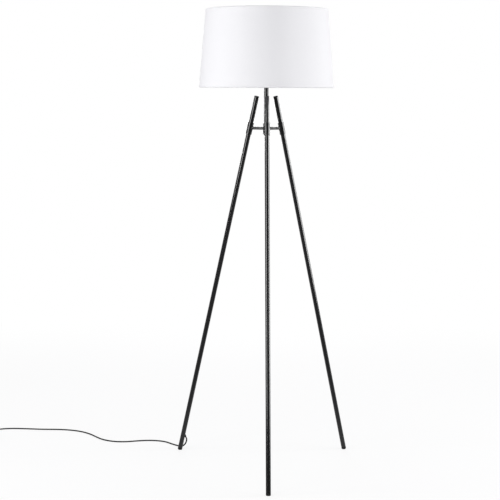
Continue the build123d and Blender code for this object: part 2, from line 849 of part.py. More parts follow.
# Bush that the cord comes out of, low on the left leg
with BuildPart() as cord_outlet:
    with BuildSketch(section_of(exit_frame)):
        with BuildLine():
            Polyline(
                (0, outlet_start),
                (outlet_lip_od / 2, outlet_start),
                (outlet_tip_od / 2, outlet_mouth),
                (0, outlet_mouth),
                close=True,
            )
        make_face()
    revolve(axis=axis_of(exit_frame))
    with BuildSketch(left_frame.offset(leg_end)):
        Circle(leg_od / 2 + thread_gap)
    extrude(amount=arm_height, mode=Mode.SUBTRACT)
    with BuildSketch(exit_frame.offset(outlet_start)):
        Circle(outlet_neck_od / 2)
    extrude(amount=outlet_mouth / 2)
    with BuildSketch(exit_frame.offset(outlet_start)):
        Circle(cord_bore / 2)
    extrude(amount=outlet_mouth, mode=Mode.SUBTRACT)
cord_outlet.part.label = "cord_outlet"
export_step(cord_outlet.part, "parts/cord_outlet.step")

# Cord inside the lamp, from the lampholder through the stem, the left arm and the left leg
inner_top = insert_bottom - terminal_head - cord_od
with BuildPart() as inner_cord:
    with BuildLine():
        FilletPolyline(
            (0, 0, inner_top),
            (0, 0, arm_height),
            left_frame.origin,
            exit_start,
            cord_mouth,
            radius=[hub_bend, hub_bend, exit_bend],
        )
    with BuildSketch(Plane.XY.offset(inner_top)):
        Circle(cord_radius)
    sweep()
inner_cord.part.label = "inner_cord"
export_step(inner_cord.part, "parts/inner_cord.step")

# Cord over the floor from the leg to the foot switch
switch_frame = Plane(origin=(switch_x, switch_y, 0))
switch_end = switch_length / 2
cord_floor = cord_radius + floor_gap
run_end_y = switch_y + switch_end - switch_wall - cord_end_inset
run_route = [
    tuple(cord_mouth),
    tuple(cord_mouth + exit_dir * cord_lead),
    (-271.6, 172.3, 35.5),
    (-272.9, 176.5, 27.5),
    (-276.5, 183.5, 17.5),
    (-282.5, 191.5, 8.8),
    (-291.0, 199.5, 3.4),
    (-302.0, 206.0, cord_floor),
    (-318.0, 215.5, cord_floor),
    (-334.0, 231.0, cord_floor),
    (-351.0, 250.0, cord_floor),
    (-376.0, 262.5, cord_floor),
    (-410.0, 269.0, cord_floor),
    (-452.0, 266.0, cord_floor),
    (-496.0, 257.0, cord_floor),
    (-540.0, 263.0, cord_floor),
    (-583.0, 288.0, cord_floor),
    (-611.0, 326.0, cord_floor),
    (-637.0, 365.0, cord_floor),
    (-673.0, 399.0, cord_floor),
    (-718.0, 420.0, cord_floor),
    (-768.0, 429.0, cord_floor),
    (-822.0, 430.0, cord_floor),
    (-890.0, 440.0, cord_floor),
    (-940.0, 445.0, cord_floor),
    (-985.0, 437.0, cord_floor),
    (-1012.0, 411.0, 5.0),
    (switch_x, 365.0, switch_split),
    (switch_x, run_end_y, switch_split),
]
run_radii = bend_radii(run_route)
with BuildPart() as cord_run:
    with BuildLine() as run_line:
        FilletPolyline(*run_route, radius=run_radii)
    with BuildSketch(Plane(origin=cord_mouth, z_dir=exit_dir)):
        Circle(cord_radius)
    sweep()
cord_run.part.label = "cord_run"
export_step(cord_run.part, "parts/cord_run.step")

# Coil of the spare cord, wound inwards below and outwards above, climbing half way
coil_x = switch_x - coil_radius
coil_y = switch_y - switch_end - coil_drop


def coil_station(quarter):
    """Point and direction of travel on the coil after a number of quarter turns, clockwise."""
    angle = -quarter * pi / 2
    middle = coil_quarters // 2
    radius = coil_radius - coil_pitch / 4 * min(quarter, coil_quarters - quarter)
    climbed = min(max((quarter - middle + 1) / 2, 0), 1)
    drift = 0
    if 0 < quarter < middle:
        drift = -coil_pitch / (2 * pi)
    elif middle < quarter < coil_quarters:
        drift = coil_pitch / (2 * pi)
    rise = coil_layer / pi if quarter == middle else 0
    place = Vector(
        coil_x + radius * cos(angle),
        coil_y + radius * sin(angle),
        coil_z + coil_layer * climbed,
    )
    travel = Vector(
        drift * cos(angle) + radius * sin(angle),
        drift * sin(angle) - radius * cos(angle),
        rise,
    )
    return place, travel.normalized()


coil_stations = [coil_station(quarter) for quarter in range(coil_quarters + 1)]
coil_start, coil_heading = coil_stations[0]
coil_finish, coil_leaving = coil_stations[-1]
coil_inlet = coil_start - coil_heading * cord_od
coil_outlet = coil_finish + coil_leaving * cord_od
with BuildPart() as cord_coil:
    with BuildLine() as coil_line:
        Line(coil_inlet, coil_start)
        draw_biarcs(coil_stations)
        Line(coil_finish, coil_outlet)
    with BuildSketch(Plane(origin=coil_inlet, z_dir=coil_heading)):
        Circle(cord_radius)
    sweep()
cord_coil.part.label = "cord_coil"
export_step(cord_coil.part, "parts/cord_coil.step")

# Cord from the switch down to the coil
link_start_y = switch_y - switch_end + switch_wall + cord_end_inset
link_route = [
    (switch_x, link_start_y, switch_split),
    (switch_x, 204.0, switch_split),
    (switch_x, 157.0, coil_z),
    tuple(coil_inlet),
]
link_radii = bend_radii(link_route)
with BuildPart() as cord_link:
    with BuildLine() as link_line:
        FilletPolyline(*link_route, radius=link_radii)
    with BuildSketch(Plane(origin=link_route[0], z_dir=(0, -1, 0))):
        Circle(cord_radius)
    sweep()
cord_link.part.label = "cord_link"
export_step(cord_link.part, "parts/cord_link.step")

# Cord from the coil into the plug
plug_mouth_y = coil_y - plug_drop
tail_route = [
    tuple(coil_outlet),
    (switch_x, 100.0, coil_outlet.Z),
    (switch_x, 70.0, plug_z),
    (switch_x, plug_mouth_y - plug_bore_depth, plug_z),
]
tail_radii = bend_radii(tail_route)
with BuildPart() as cord_tail:
    with BuildLine() as tail_line:
        FilletPolyline(*tail_route, radius=tail_radii)
    with BuildSketch(Plane(origin=coil_outlet, z_dir=coil_leaving)):
        Circle(cord_radius)
    sweep()
cord_tail.part.label = "cord_tail"
export_step(cord_tail.part, "parts/cord_tail.step")

# Tie round the coil's bundle, on the side away from the lamp
bundle_inner = coil_radius - coil_pitch / 4 * coil_quarters / 2 - cord_radius
bundle_outer = coil_radius - coil_pitch / 2 + cord_radius
tie_inner_width = bundle_outer - bundle_inner + 2 * tie_slack
tie_inner_height = coil_layer + cord_od + 2 * tie_gap
tie_z = coil_z + coil_layer / 2
tie_frame = Plane(
    origin=(coil_x - (bundle_outer + bundle_inner) / 2, coil_y - tie_width / 2, tie_z),
    x_dir=(1, 0, 0),
    z_dir=(0, 1, 0),
)
with BuildPart() as coil_tie:
    with BuildSketch(tie_frame):
        RectangleRounded(tie_inner_width + 2 * tie_wall, tie_inner_height + 2 * tie_wall, tie_round)
        RectangleRounded(tie_inner_width, tie_inner_height, tie_round - tie_wall, mode=Mode.SUBTRACT)
    extrude(amount=tie_width)
coil_tie.part.label = "coil_tie"
export_step(coil_tie.part, "parts/coil_tie.step")

# Foot switch: lower shell, upper shell, button, spring, contacts, screws and cord reliefs
boss_places = [(0, -boss_spread), (0, boss_spread)]
switch_cord_axis = Plane(
    origin=(switch_x, switch_y - switch_length, switch_split), x_dir=(1, 0, 0), z_dir=(0, 1, 0)
)
with BuildPart() as switch_base:
    with BuildSketch(switch_frame):
        RectangleRounded(switch_width, switch_length, switch_corner)
    extrude(amount=switch_split)
    fillet(switch_base.faces().sort_by(Axis.Z)[0].edges(), switch_wall)
    with BuildSketch(switch_frame.offset(switch_wall)):
        RectangleRounded(
            switch_width - 2 * switch_wall, switch_length - 2 * switch_wall, switch_corner - switch_wall
        )
        with Locations(*boss_places):
            Circle(boss_od / 2, mode=Mode.SUBTRACT)
    extrude(amount=switch_split, mode=Mode.SUBTRACT)
    with BuildSketch(switch_frame):
        with Locations(*boss_places):
            Circle(switch_screw_od / 2 + switch_gap)
    extrude(amount=switch_split, mode=Mode.SUBTRACT)
    with BuildSketch(switch_frame):
        with Locations(*boss_places):
            Circle(switch_screw_head_od / 2 + switch_gap)
    extrude(amount=switch_screw_head + switch_gap, mode=Mode.SUBTRACT)
    with BuildSketch(switch_cord_axis):
        Circle(relief_neck_od / 2 + switch_gap)
    extrude(amount=2 * switch_length, mode=Mode.SUBTRACT)
switch_base.part.label = "switch_base"
export_step(switch_base.part, "parts/switch_base.step")

switch_ceiling = switch_top - switch_wall
with BuildPart() as switch_cover:
    with BuildSketch(switch_frame.offset(switch_split)):
        RectangleRounded(switch_width, switch_length, switch_corner)
    extrude(amount=switch_top - switch_split)
    fillet(switch_cover.faces().sort_by(Axis.Z)[-1].edges(), switch_round)
    with BuildSketch(switch_frame.offset(switch_split)):
        RectangleRounded(
            switch_width - 2 * switch_wall, switch_length - 2 * switch_wall, switch_corner - switch_wall
        )
        with Locations(*boss_places):
            Circle(boss_od / 2, mode=Mode.SUBTRACT)
    extrude(amount=switch_ceiling - switch_split, mode=Mode.SUBTRACT)
    with BuildSketch(switch_frame.offset(switch_split)):
        with Locations(*boss_places):
            Circle(switch_screw_od / 2 + switch_gap)
    extrude(amount=switch_screw_bite + switch_gap, mode=Mode.SUBTRACT)
    with BuildSketch(switch_frame.offset(switch_split)):
        Circle(button_od / 2 + button_gap)
    extrude(amount=switch_top, mode=Mode.SUBTRACT)
    with BuildSketch(switch_cord_axis):
        Circle(relief_neck_od / 2 + switch_gap)
    extrude(amount=2 * switch_length, mode=Mode.SUBTRACT)
switch_cover.part.label = "switch_cover"
export_step(switch_cover.part, "parts/switch_cover.step")

button_flange_high = switch_ceiling - button_gap
button_flange_low = button_flange_high - button_flange
button_top = switch_top + button_proud
button_seat = button_flange_low + button_seat_depth
with BuildPart() as switch_button:
    with BuildSketch(switch_frame.offset(button_flange_low)):
        Circle(button_flange_od / 2)
    extrude(amount=button_flange)
    with BuildSketch(switch_frame.offset(button_flange_high)):
        Circle(button_od / 2)
    extrude(amount=button_top - button_flange_high)
    fillet(switch_button.faces().sort_by(Axis.Z)[-1].edges(), button_round)
    with BuildSketch(switch_frame.offset(button_flange_low)):
        Circle(button_seat_od / 2)
    extrude(amount=button_seat_depth, mode=Mode.SUBTRACT)
switch_button.part.label = "switch_button"
export_step(switch_button.part, "parts/switch_button.step")

spring_radius = (spring_od - spring_wire) / 2
spring_low = switch_wall + spring_wire / 2 + spring_preload_gap
spring_high = button_seat - spring_wire / 2 - spring_preload_gap
spring_rise = (spring_high - spring_low) / (spring_turns * 2 * pi)


def spring_station(quarter):
    """Point and direction of travel on the button's spring after a number of quarter turns."""
    angle = quarter * pi / 2
    place = Vector(
        switch_x + spring_radius * cos(angle),
        switch_y + spring_radius * sin(angle),
        spring_low + spring_rise * angle,
    )
    travel = Vector(-spring_radius * sin(angle), spring_radius * cos(angle), spring_rise)
    return place, travel.normalized()


spring_stations = [spring_station(quarter) for quarter in range(4 * spring_turns + 1)]
spring_start, spring_heading = spring_stations[0]
with BuildPart() as switch_spring:
    with BuildLine() as spring_line:
        draw_biarcs(spring_stations)
    with BuildSketch(Plane(origin=spring_start, z_dir=spring_heading)):
        Circle(spring_wire / 2)
    sweep()
switch_spring.part.label = "switch_spring"
export_step(switch_spring.part, "parts/switch_spring.step")

strip_places = [(-strip_spacing / 2, 0), (strip_spacing / 2, 0)]
post_places = [(x, sign * (strip_length - post_size) / 2) for x, _ in strip_places for sign in (-1, 1)]
with BuildPart() as switch_contacts:
    with BuildSketch(switch_frame.offset(switch_wall)):
        with Locations(*strip_places):
            Rectangle(strip_width, strip_length)
    extrude(amount=strip_gauge)
    with BuildSketch(switch_frame.offset(switch_wall)):
        with Locations(*post_places):
            Rectangle(post_size, post_size)
    extrude(amount=post_height)
switch_contacts.part.label = "switch_contacts"
export_step(switch_contacts.part, "parts/switch_contacts.step")

with BuildPart() as switch_screws:
    with BuildSketch(switch_frame.offset(switch_gap)):
        with Locations(*boss_places):
            Circle(switch_screw_head_od / 2)
    extrude(amount=switch_screw_head)
    with BuildSketch(switch_frame.offset(switch_gap)):
        with Locations(*boss_places):
            Circle(switch_screw_od / 2)
    extrude(amount=switch_split + switch_screw_bite - switch_gap)
switch_screws.part.label = "switch_screws"
export_step(switch_screws.part, "parts/switch_screws.step")

relief_inner = -switch_wall - relief_flange
with BuildPart() as cord_reliefs:
    for sign in (-1, 1):
        relief_frame = Plane(
            origin=(switch_x, switch_y + sign * switch_end, switch_split),
            x_dir=(1, 0, 0),
            z_dir=(0, sign, 0),
        )
        with BuildSketch(section_of(relief_frame)):
            with BuildLine():
                Polyline(
                    (cord_bore / 2, relief_inner),
                    (relief_od / 2, relief_inner),
                    (relief_od / 2, -switch_wall),
                    (relief_neck_od / 2, -switch_wall),
                    (relief_neck_od / 2, 0),
                    (relief_od / 2, 0),
                    (relief_tip_od / 2, relief_length),
                    (cord_bore / 2, relief_length),
                    close=True,
                )
            make_face()
        revolve(axis=axis_of(relief_frame))
cord_reliefs.part.label = "cord_reliefs"
export_step(cord_reliefs.part, "parts/cord_reliefs.step")

# Two-pin mains plug, lying flat
plug_frame = Plane(origin=(switch_x, plug_mouth_y, plug_z), x_dir=(1, 0, 0), z_dir=(0, -1, 0))
plug_face = plug_relief + plug_length
pin_places = [(-pin_spacing / 2, 0), (pin_spacing / 2, 0)]
with BuildPart() as plug_body:
    with BuildSketch(plug_frame):
        Circle(plug_relief_tip_od / 2)
    with BuildSketch(plug_frame.offset(plug_relief)):
        Circle(plug_relief_od / 2)
    loft()
    with BuildSketch(plug_frame.offset(plug_relief)):
        RectangleRounded(plug_throat_width, plug_throat_height, plug_throat_round)
    with BuildSketch(plug_frame.offset(plug_relief + plug_waist)):
        RectangleRounded(plug_waist_width, plug_height, plug_face_round)
    with BuildSketch(plug_frame.offset(plug_face)):
        RectangleRounded(plug_width, plug_height, plug_face_round)
    loft(ruled=True)
    with BuildSketch(plug_frame):
        Circle(cord_bore / 2)
    extrude(amount=plug_bore_depth, mode=Mode.SUBTRACT)
    with BuildSketch(plug_frame.offset(plug_face - pin_root)):
        with Locations(*pin_places):
            Circle(pin_od / 2 + thread_gap)
    extrude(amount=pin_root, mode=Mode.SUBTRACT)
plug_body.part.label = "plug_body"
export_step(plug_body.part, "parts/plug_body.step")

with BuildPart() as plug_pins:
    with BuildSketch(plug_frame.offset(plug_face - pin_root)):
        with Locations(*pin_places):
            Circle(pin_od / 2)
    extrude(amount=pin_root + pin_length)
    fillet(plug_pins.edges().group_by(Axis.Y)[0], pin_round)
plug_pins.part.label = "plug_pins"
export_step(plug_pins.part, "parts/plug_pins.step")

# What the cord and the spring measure
cord_area = pi * cord_radius**2
for name, line, piece in (
    ("cord_run", run_line, cord_run),
    ("cord_link", link_line, cord_link),
    ("cord_coil", coil_line, cord_coil),
    ("cord_tail", tail_line, cord_tail),
):
    length = line.wires()[0].length
    print(f"{name}: {length:.1f} mm, volume ratio {piece.part.volume / cord_area / length:.4f}")
for name, radii in (("cord_run", run_radii), ("cord_link", link_radii), ("cord_tail", tail_radii)):
    print(f"{name}: bend radii", [round(radius, 1) for radius in radii])
coil_gap = least_self_gap(coil_line.wires()[0], cord_od)
spring_gap = least_self_gap(spring_line.wires()[0], spring_wire)
print(f"cord_coil: least gap between turns {coil_gap:.2f} mm")
print(f"switch_spring: least gap between turns {spring_gap:.2f} mm")
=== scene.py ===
import json
import logging
import math
from dataclasses import dataclass
from enum import Enum
from typing import Any, Callable, Iterable, Union

import bpy
from mathutils import Matrix, Vector


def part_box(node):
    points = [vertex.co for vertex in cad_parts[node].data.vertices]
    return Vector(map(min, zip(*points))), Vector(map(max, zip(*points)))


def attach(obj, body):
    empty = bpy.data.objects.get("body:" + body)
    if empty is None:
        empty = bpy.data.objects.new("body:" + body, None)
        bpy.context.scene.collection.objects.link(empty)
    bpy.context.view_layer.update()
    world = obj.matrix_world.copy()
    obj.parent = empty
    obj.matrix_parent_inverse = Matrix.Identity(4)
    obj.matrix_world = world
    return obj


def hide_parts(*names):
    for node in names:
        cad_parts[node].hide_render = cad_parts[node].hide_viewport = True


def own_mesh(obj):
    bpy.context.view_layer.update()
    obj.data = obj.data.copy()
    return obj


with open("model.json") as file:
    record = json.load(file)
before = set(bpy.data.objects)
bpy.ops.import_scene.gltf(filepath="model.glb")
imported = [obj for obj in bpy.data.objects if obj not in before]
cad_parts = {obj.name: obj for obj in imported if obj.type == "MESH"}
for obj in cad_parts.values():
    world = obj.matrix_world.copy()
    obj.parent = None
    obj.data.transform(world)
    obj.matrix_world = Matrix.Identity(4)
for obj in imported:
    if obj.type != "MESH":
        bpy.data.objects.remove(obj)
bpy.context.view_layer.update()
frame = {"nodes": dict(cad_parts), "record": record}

log = logging.getLogger("tripod_lamp")

Piece = bpy.types.Object
Dressed = tuple[Piece, str, str]
Colour = tuple[float, float, float]
Point = tuple[float, float, float]
Span = tuple[float, float]
Value = Union["Signal", float, int]
Paint = Union["Signal", Colour]
Profile = list[tuple[float, float]]

QUARTER_TURN = math.pi / 2
SMOOTH_ANGLE = math.radians(35)
HAIR = 0.0001  # least clearance or step between two surfaces, in metres
WHITE: Colour = (1, 1, 1)
PIN_BARE = 0.0092  # length of a plug pin in front of its sleeve
SWITCH_X = -1.02  # the foot switch, the coil and the plug lie on this line
CORD_HEIGHT = 0.010  # height that the cord enters the foot switch at
CORD_BORE = 0.0026
CORD_ROUNDNESS = 5
SPLINE_STEPS = 8
SPLINE_ORDER = 3


class Body(Enum):
    """The bodies that new pieces ride on."""

    STAND = "stand"
    SHADE = "shade"
    BULB = "bulb"
    BUTTON = "button"


def arithmetic(operation: str, swapped: bool = False) -> Callable[..., "Signal"]:
    """Method of a signal that adds one Math node.

    Args:
        operation: the Math node's operation.
        swapped: whether the signal itself comes last.

    Returns:
        The method.
    """
    def apply(self: "Signal", *others: Value) -> "Signal":
        """Result of the Math node."""
        values = (*others, self) if swapped else (self, *others)
        return self.graph.node("ShaderNodeMath", {"operation": operation}, dict(enumerate(values)))

    return apply


class Signal:
    """A shader value: arithmetic on it adds Math nodes to its graph."""

    __add__ = arithmetic("ADD")
    __radd__ = arithmetic("ADD", swapped=True)
    __sub__ = arithmetic("SUBTRACT")
    __rsub__ = arithmetic("SUBTRACT", swapped=True)
    __mul__ = arithmetic("MULTIPLY")
    __rmul__ = arithmetic("MULTIPLY", swapped=True)
    root = arithmetic("SQRT")
    sine = arithmetic("SINE")
    angle_to = arithmetic("ARCTAN2")
    larger = arithmetic("MAXIMUM")

    def __init__(self, graph: "Graph", socket: bpy.types.NodeSocket) -> None:
        """Wrap one output socket of a graph's node."""
        self.graph = graph
        self.socket = socket

    def ramp(self, low: float, high: float) -> "Signal":
        """Smooth step from 0 at low to 1 at high."""
        inputs = {"Value": self, "From Min": low, "From Max": high}
        return self.graph.node("ShaderNodeMapRange", {"interpolation_type": "SMOOTHSTEP"}, inputs)


class Graph:
    """Node tree of a material or of the world."""

    def __init__(self, owner: bpy.types.Material | bpy.types.World) -> None:
        """Start with an empty tree.

        Args:
            owner: the material or the world.
        """
        self.owner = owner
        owner.use_nodes = True
        self.tree = owner.node_tree
        self.tree.nodes.clear()

    @classmethod
    def material(cls, name: str) -> tuple["Graph", Signal, list[Signal]]:
        """Start a new material on the object's own coordinates.

        Args:
            name: the material's name.

        Returns:
            Its graph, the position, and the position's x, y and z.
        """
        graph = cls(bpy.data.materials.new(name))
        position = graph.node("ShaderNodeTexCoord", output="Object")
        return graph, position, graph.split(position)

    def node(
        self,
        kind: str,
        settings: dict[str, Any] | None = None,
        inputs: dict[int | str, Any] | None = None,
        output: int | str = 0,
    ) -> Signal:
        """Add a node.

        Args:
            kind: the node's type name.
            settings: its own settings, set before its sockets.
            inputs: values or links of its sockets, by index or name.
            output: which output to hand back.

        Returns:
            The chosen output.
        """
        made = self.tree.nodes.new(kind)
        for key, value in (settings or {}).items():
            setattr(made, key, value)
        for key, value in (inputs or {}).items():
            if isinstance(value, Signal):
                self.tree.links.new(value.socket, made.inputs[key])
            else:
                made.inputs[key].default_value = value
        return Signal(self, made.outputs[output])

    def split(self, vector: Signal) -> list[Signal]:
        """The x, y and z of a vector."""
        return [self.node("ShaderNodeSeparateXYZ", inputs={0: vector}, output=axis) for axis in range(3)]

    def ray(self, kind: str) -> Signal:
        """1 for rays of one kind, 0 for all others."""
        return self.node("ShaderNodeLightPath", output=f"Is {kind} Ray")

    def blend(self, share: Value, first: Paint, second: Paint) -> Signal:
        """Mix of two colours by a share from 0 to 1."""
        first, second = (paint if isinstance(paint, Signal) else (*paint, 1) for paint in (first, second))
        return self.node("ShaderNodeMix", {"data_type": "RGBA"}, {0: share, 6: first, 7: second}, output=2)

    def bump(self, height: Signal, depth: float, strength: float = 1.0) -> Signal:
        """Surface normal of a height map whose full range is depth metres."""
        return self.node("ShaderNodeBump", inputs={"Height": height, "Distance": depth, "Strength": strength})

    def principled(self, sockets: dict[str, Any]) -> bpy.types.Material:
        """Finish the material with one Principled shader."""
        self.surface(self.node("ShaderNodeBsdfPrincipled", inputs=sockets))
        return self.owner

    def surface(self, shader: Signal) -> None:
        """Link a shader to the owner's surface.

        Args:
            shader: the finished shader.
        """
        kind = "World" if isinstance(self.owner, bpy.types.World) else "Material"
        made = self.tree.nodes.new(f"ShaderNodeOutput{kind}")
        self.tree.links.new(shader.socket, made.inputs["Surface"])


@dataclass(frozen=True)
class Mottle:
    """Soft noise on a surface: its grain in metres, and how it changes the gloss and the relief."""

    size: float
    detail: float = 2.0
    stretch: Point = (1, 1, 1)
    edge: Span | None = None
    dulls: float = 0.0
    depth: float = 0.0
    strength: float = 1.0

    def lay(self, graph: Graph, position: Signal) -> Signal:
        """Lay the noise on a surface.

        Args:
            graph: the material's graph.
            position: where the noise is read.

        Returns:
            A value from 0 to 1, in patches where the mottle has an edge.
        """
        scale = tuple(1 / (self.size * long) for long in self.stretch)
        spread = graph.node("ShaderNodeMapping", inputs={"Vector": position, "Scale": scale})
        inputs = {"Vector": spread, "Scale": 1.0, "Detail": self.detail}
        noise = graph.node("ShaderNodeTexNoise", inputs=inputs)
        return noise.ramp(*self.edge) if self.edge else noise


class Finish:
    """A surface of two colours: one mottle lays the second colour on the first, another roughens the skin."""

    colour: Colour
    tinted: Colour
    roughness: float
    tint: Mottle
    grain: Mottle | None
    FIXED: dict[str, float] = {}

    def tinted_share(self, graph: Graph, position: Signal, axes: list[Signal]) -> Signal:
        """How much of the second colour shows."""
        return self.tint.lay(graph, position)

    def more_sockets(self, share: Signal) -> dict[str, Any]:
        """Sockets besides colour, roughness and relief."""
        return self.FIXED

    def material(self, name: str) -> bpy.types.Material:
        """Make the material.

        Args:
            name: its name.

        Returns:
            The material.
        """
        graph, position, axes = Graph.material(name)
        share = self.tinted_share(graph, position, axes)
        sockets = {"Base Color": graph.blend(share, self.colour, self.tinted), **self.more_sockets(share)}
        roughness = self.roughness + share * self.tint.dulls
        if self.grain:
            grain = self.grain.lay(graph, position)
            roughness = roughness + grain * self.grain.dulls
            sockets["Normal"] = graph.bump(grain, self.grain.depth, self.grain.strength)
        return graph.principled({**sockets, "Roughness": roughness})


@dataclass(frozen=True)
class PowderCoat(Finish):
    """Satin black powder coat on steel tube: orange peel, smoother and lighter where hands have rubbed it."""

    colour: Colour = (0.004, 0.004, 0.0045)
    tinted: Colour = (0.006, 0.006, 0.0065)
    roughness: float = 0.17
    tint: Mottle = Mottle(size=0.06, detail=4.0, edge=(0.45, 0.75), dulls=-0.03)
    grain: Mottle = Mottle(size=0.002, detail=1.0, dulls=0.03, depth=0.000003)
    FIXED = {"Specular IOR Level": 0.9, "Coat Weight": 1.0, "Coat Roughness": 0.12, "Coat IOR": 1.7}


@dataclass(frozen=True)
class MouldedPlastic(Finish):
    """Moulded plastic with slight flow marks and a fine spark-eroded grain."""

    colour: Colour = (0.010, 0.010, 0.010)
    roughness: float = 0.45
    pore: float = 0.0005
    depth: float = 0.00002
    tint: Mottle = Mottle(size=0.012, detail=3.0, stretch=(1, 1, 3), dulls=-0.05)
    flow_gain: float = 1.12
    flow_lift: float = 0.002
    FIXED = {"Specular IOR Level": 0.3}

    @property
    def tinted(self) -> Colour:
        """Colour of the flow marks, slightly paler."""
        return tuple(min(1.0, part * self.flow_gain + self.flow_lift) for part in self.colour)

    @property
    def grain(self) -> Mottle:
        """The mould's grain."""
        return Mottle(size=self.pore, dulls=0.14, depth=self.depth, strength=0.5)


@dataclass(frozen=True)
class PlatedMetal(Finish):
    """Bare or plated metal, turned or drawn, with streaks and a dulled film."""

    colour: Colour = (0.6, 0.6, 0.6)
    tinted: Colour = (0.42, 0.42, 0.41)
    roughness: float = 0.28
    tint: Mottle = Mottle(size=0.008, detail=4.0, edge=(0.4, 0.8), dulls=0.1)
    grain: Mottle = Mottle(size=0.0004, stretch=(1, 1, 12), dulls=0.16, depth=0.00001, strength=0.5)
    FIXED = {"Metallic": 1.0}


@dataclass(frozen=True)
class SleevedPin(Finish):
    """Plated plug pin with a black insulating sleeve on its half next to the plug."""

    edge: float
    colour: Colour = (0.7, 0.68, 0.62)
    tinted: Colour = (0.010, 0.010, 0.010)
    roughness: float = 0.24
    tint: Mottle = Mottle(size=HAIR, dulls=0.16)
    grain: Mottle = Mottle(size=0.0004, stretch=(1, 12, 1), dulls=0.14, depth=0.00001, strength=0.5)

    def tinted_share(self, graph: Graph, position: Signal, axes: list[Signal]) -> Signal:
        """0 on the metal in front of the sleeve's edge, 1 on the plastic behind it."""
        return axes[1].ramp(self.edge - self.tint.size / 2, self.edge + self.tint.size / 2)

    def more_sockets(self, share: Signal) -> dict[str, Any]:
        """Only the bare part is metal."""
        return {"Metallic": 1 - share}


@dataclass(frozen=True)
class Opal(Finish):
    """Opal plastic of the bulb's globe: milky, faintly clouded, with a smooth skin."""

    colour: Colour = (0.86, 0.86, 0.84)
    tinted: Colour = (0.82, 0.82, 0.81)
    roughness: float = 0.2
    tint: Mottle = Mottle(size=0.02, detail=3.0, dulls=0.12)
    grain: None = None
    FIXED = {"Subsurface Weight": 0.2, "Subsurface Scale": 0.004, "Coat Weight": 0.2}


@dataclass(frozen=True)
class Jacket(Finish):
    """Smooth extruded jacket of the supply cord, with faint dust and a slightly uneven skin."""

    colour: Colour = (0.009, 0.009, 0.009)
    tinted: Colour = (0.026, 0.026, 0.025)
    roughness: float = 0.4
    tint: Mottle = Mottle(size=0.009, detail=5.0, edge=(0.5, 0.85), dulls=0.15)
    grain: Mottle = Mottle(size=0.0006, dulls=0.06, depth=0.00002, strength=0.4)
    FIXED = {"Specular IOR Level": 0.3}


@dataclass(frozen=True)
class ShadeCloth:
    """Fine white plain-weave cloth laminated on film, seen on the shade's cover and hems."""

    colour: Colour = (0.898, 0.895, 0.91)
    slub: Colour = (0.875, 0.873, 0.893)
    roughness: float = 0.82
    thread: float = 0.00062
    radius: float = 0.2135
    upright: Mottle = Mottle(size=0.0014, stretch=(1, 1, 30), edge=(0.5, 0.8))
    level: Mottle = Mottle(size=0.0012, stretch=(16, 16, 1), edge=(0.5, 0.8))
    slub_dulls: float = 0.1
    slub_height: float = 0.3
    weave_height: float = 0.7
    relief: float = 0.00012
    relief_strength: float = 0.45
    film: bool = False
    film_colour: Colour = (0.9, 0.9, 0.905)
    film_roughness: float = 0.5
    FIXED = {"Sheen Weight": 0.08, "Sheen Roughness": 0.5}

    def outside(self, axes: list[Signal]) -> Signal:
        """Tell the cover's two faces apart.

        Args:
            axes: the position's x, y and z.

        Returns:
            1 on the woven outer face, 0 on the smooth film inside.
        """
        x, y, z = axes
        shade = Shade()
        middle = shade.radius(0) - shade.cloth / 2
        slope = shade.radius(1) - shade.radius(0)
        depth = (x * x + y * y).root() - (z * slope + middle)
        return depth.ramp(-2 * HAIR, 2 * HAIR)

    def material(self, name: str) -> bpy.types.Material:
        """Weave threads round and up the drum, with thicker slubs along both.

        Args:
            name: the material's name.

        Returns:
            The material.
        """
        graph, position, axes = Graph.material(name)
        x, y, z = axes
        ends = round(math.tau * self.radius / (2 * self.thread))
        warp = (y.angle_to(x) * ends).sine()
        weft = (z * (math.pi / self.thread)).sine()
        weave = warp * weft * 0.5 + 0.5
        slub = (self.upright.lay(graph, position) + self.level.lay(graph, position)) * 0.5
        height = weave * self.weave_height + slub * self.slub_height
        colour = graph.blend(slub, self.colour, self.slub)
        roughness = self.roughness + slub * self.slub_dulls
        if self.film:
            outside = self.outside(axes)
            colour = graph.blend(outside, self.film_colour, colour)
            roughness = roughness * outside + self.film_roughness * (1 - outside)
            height = height * outside
        normal = graph.bump(height, self.relief, self.relief_strength)
        sockets = {"Base Color": colour, "Roughness": roughness, "Normal": normal}
        return graph.principled({**sockets, **self.FIXED})


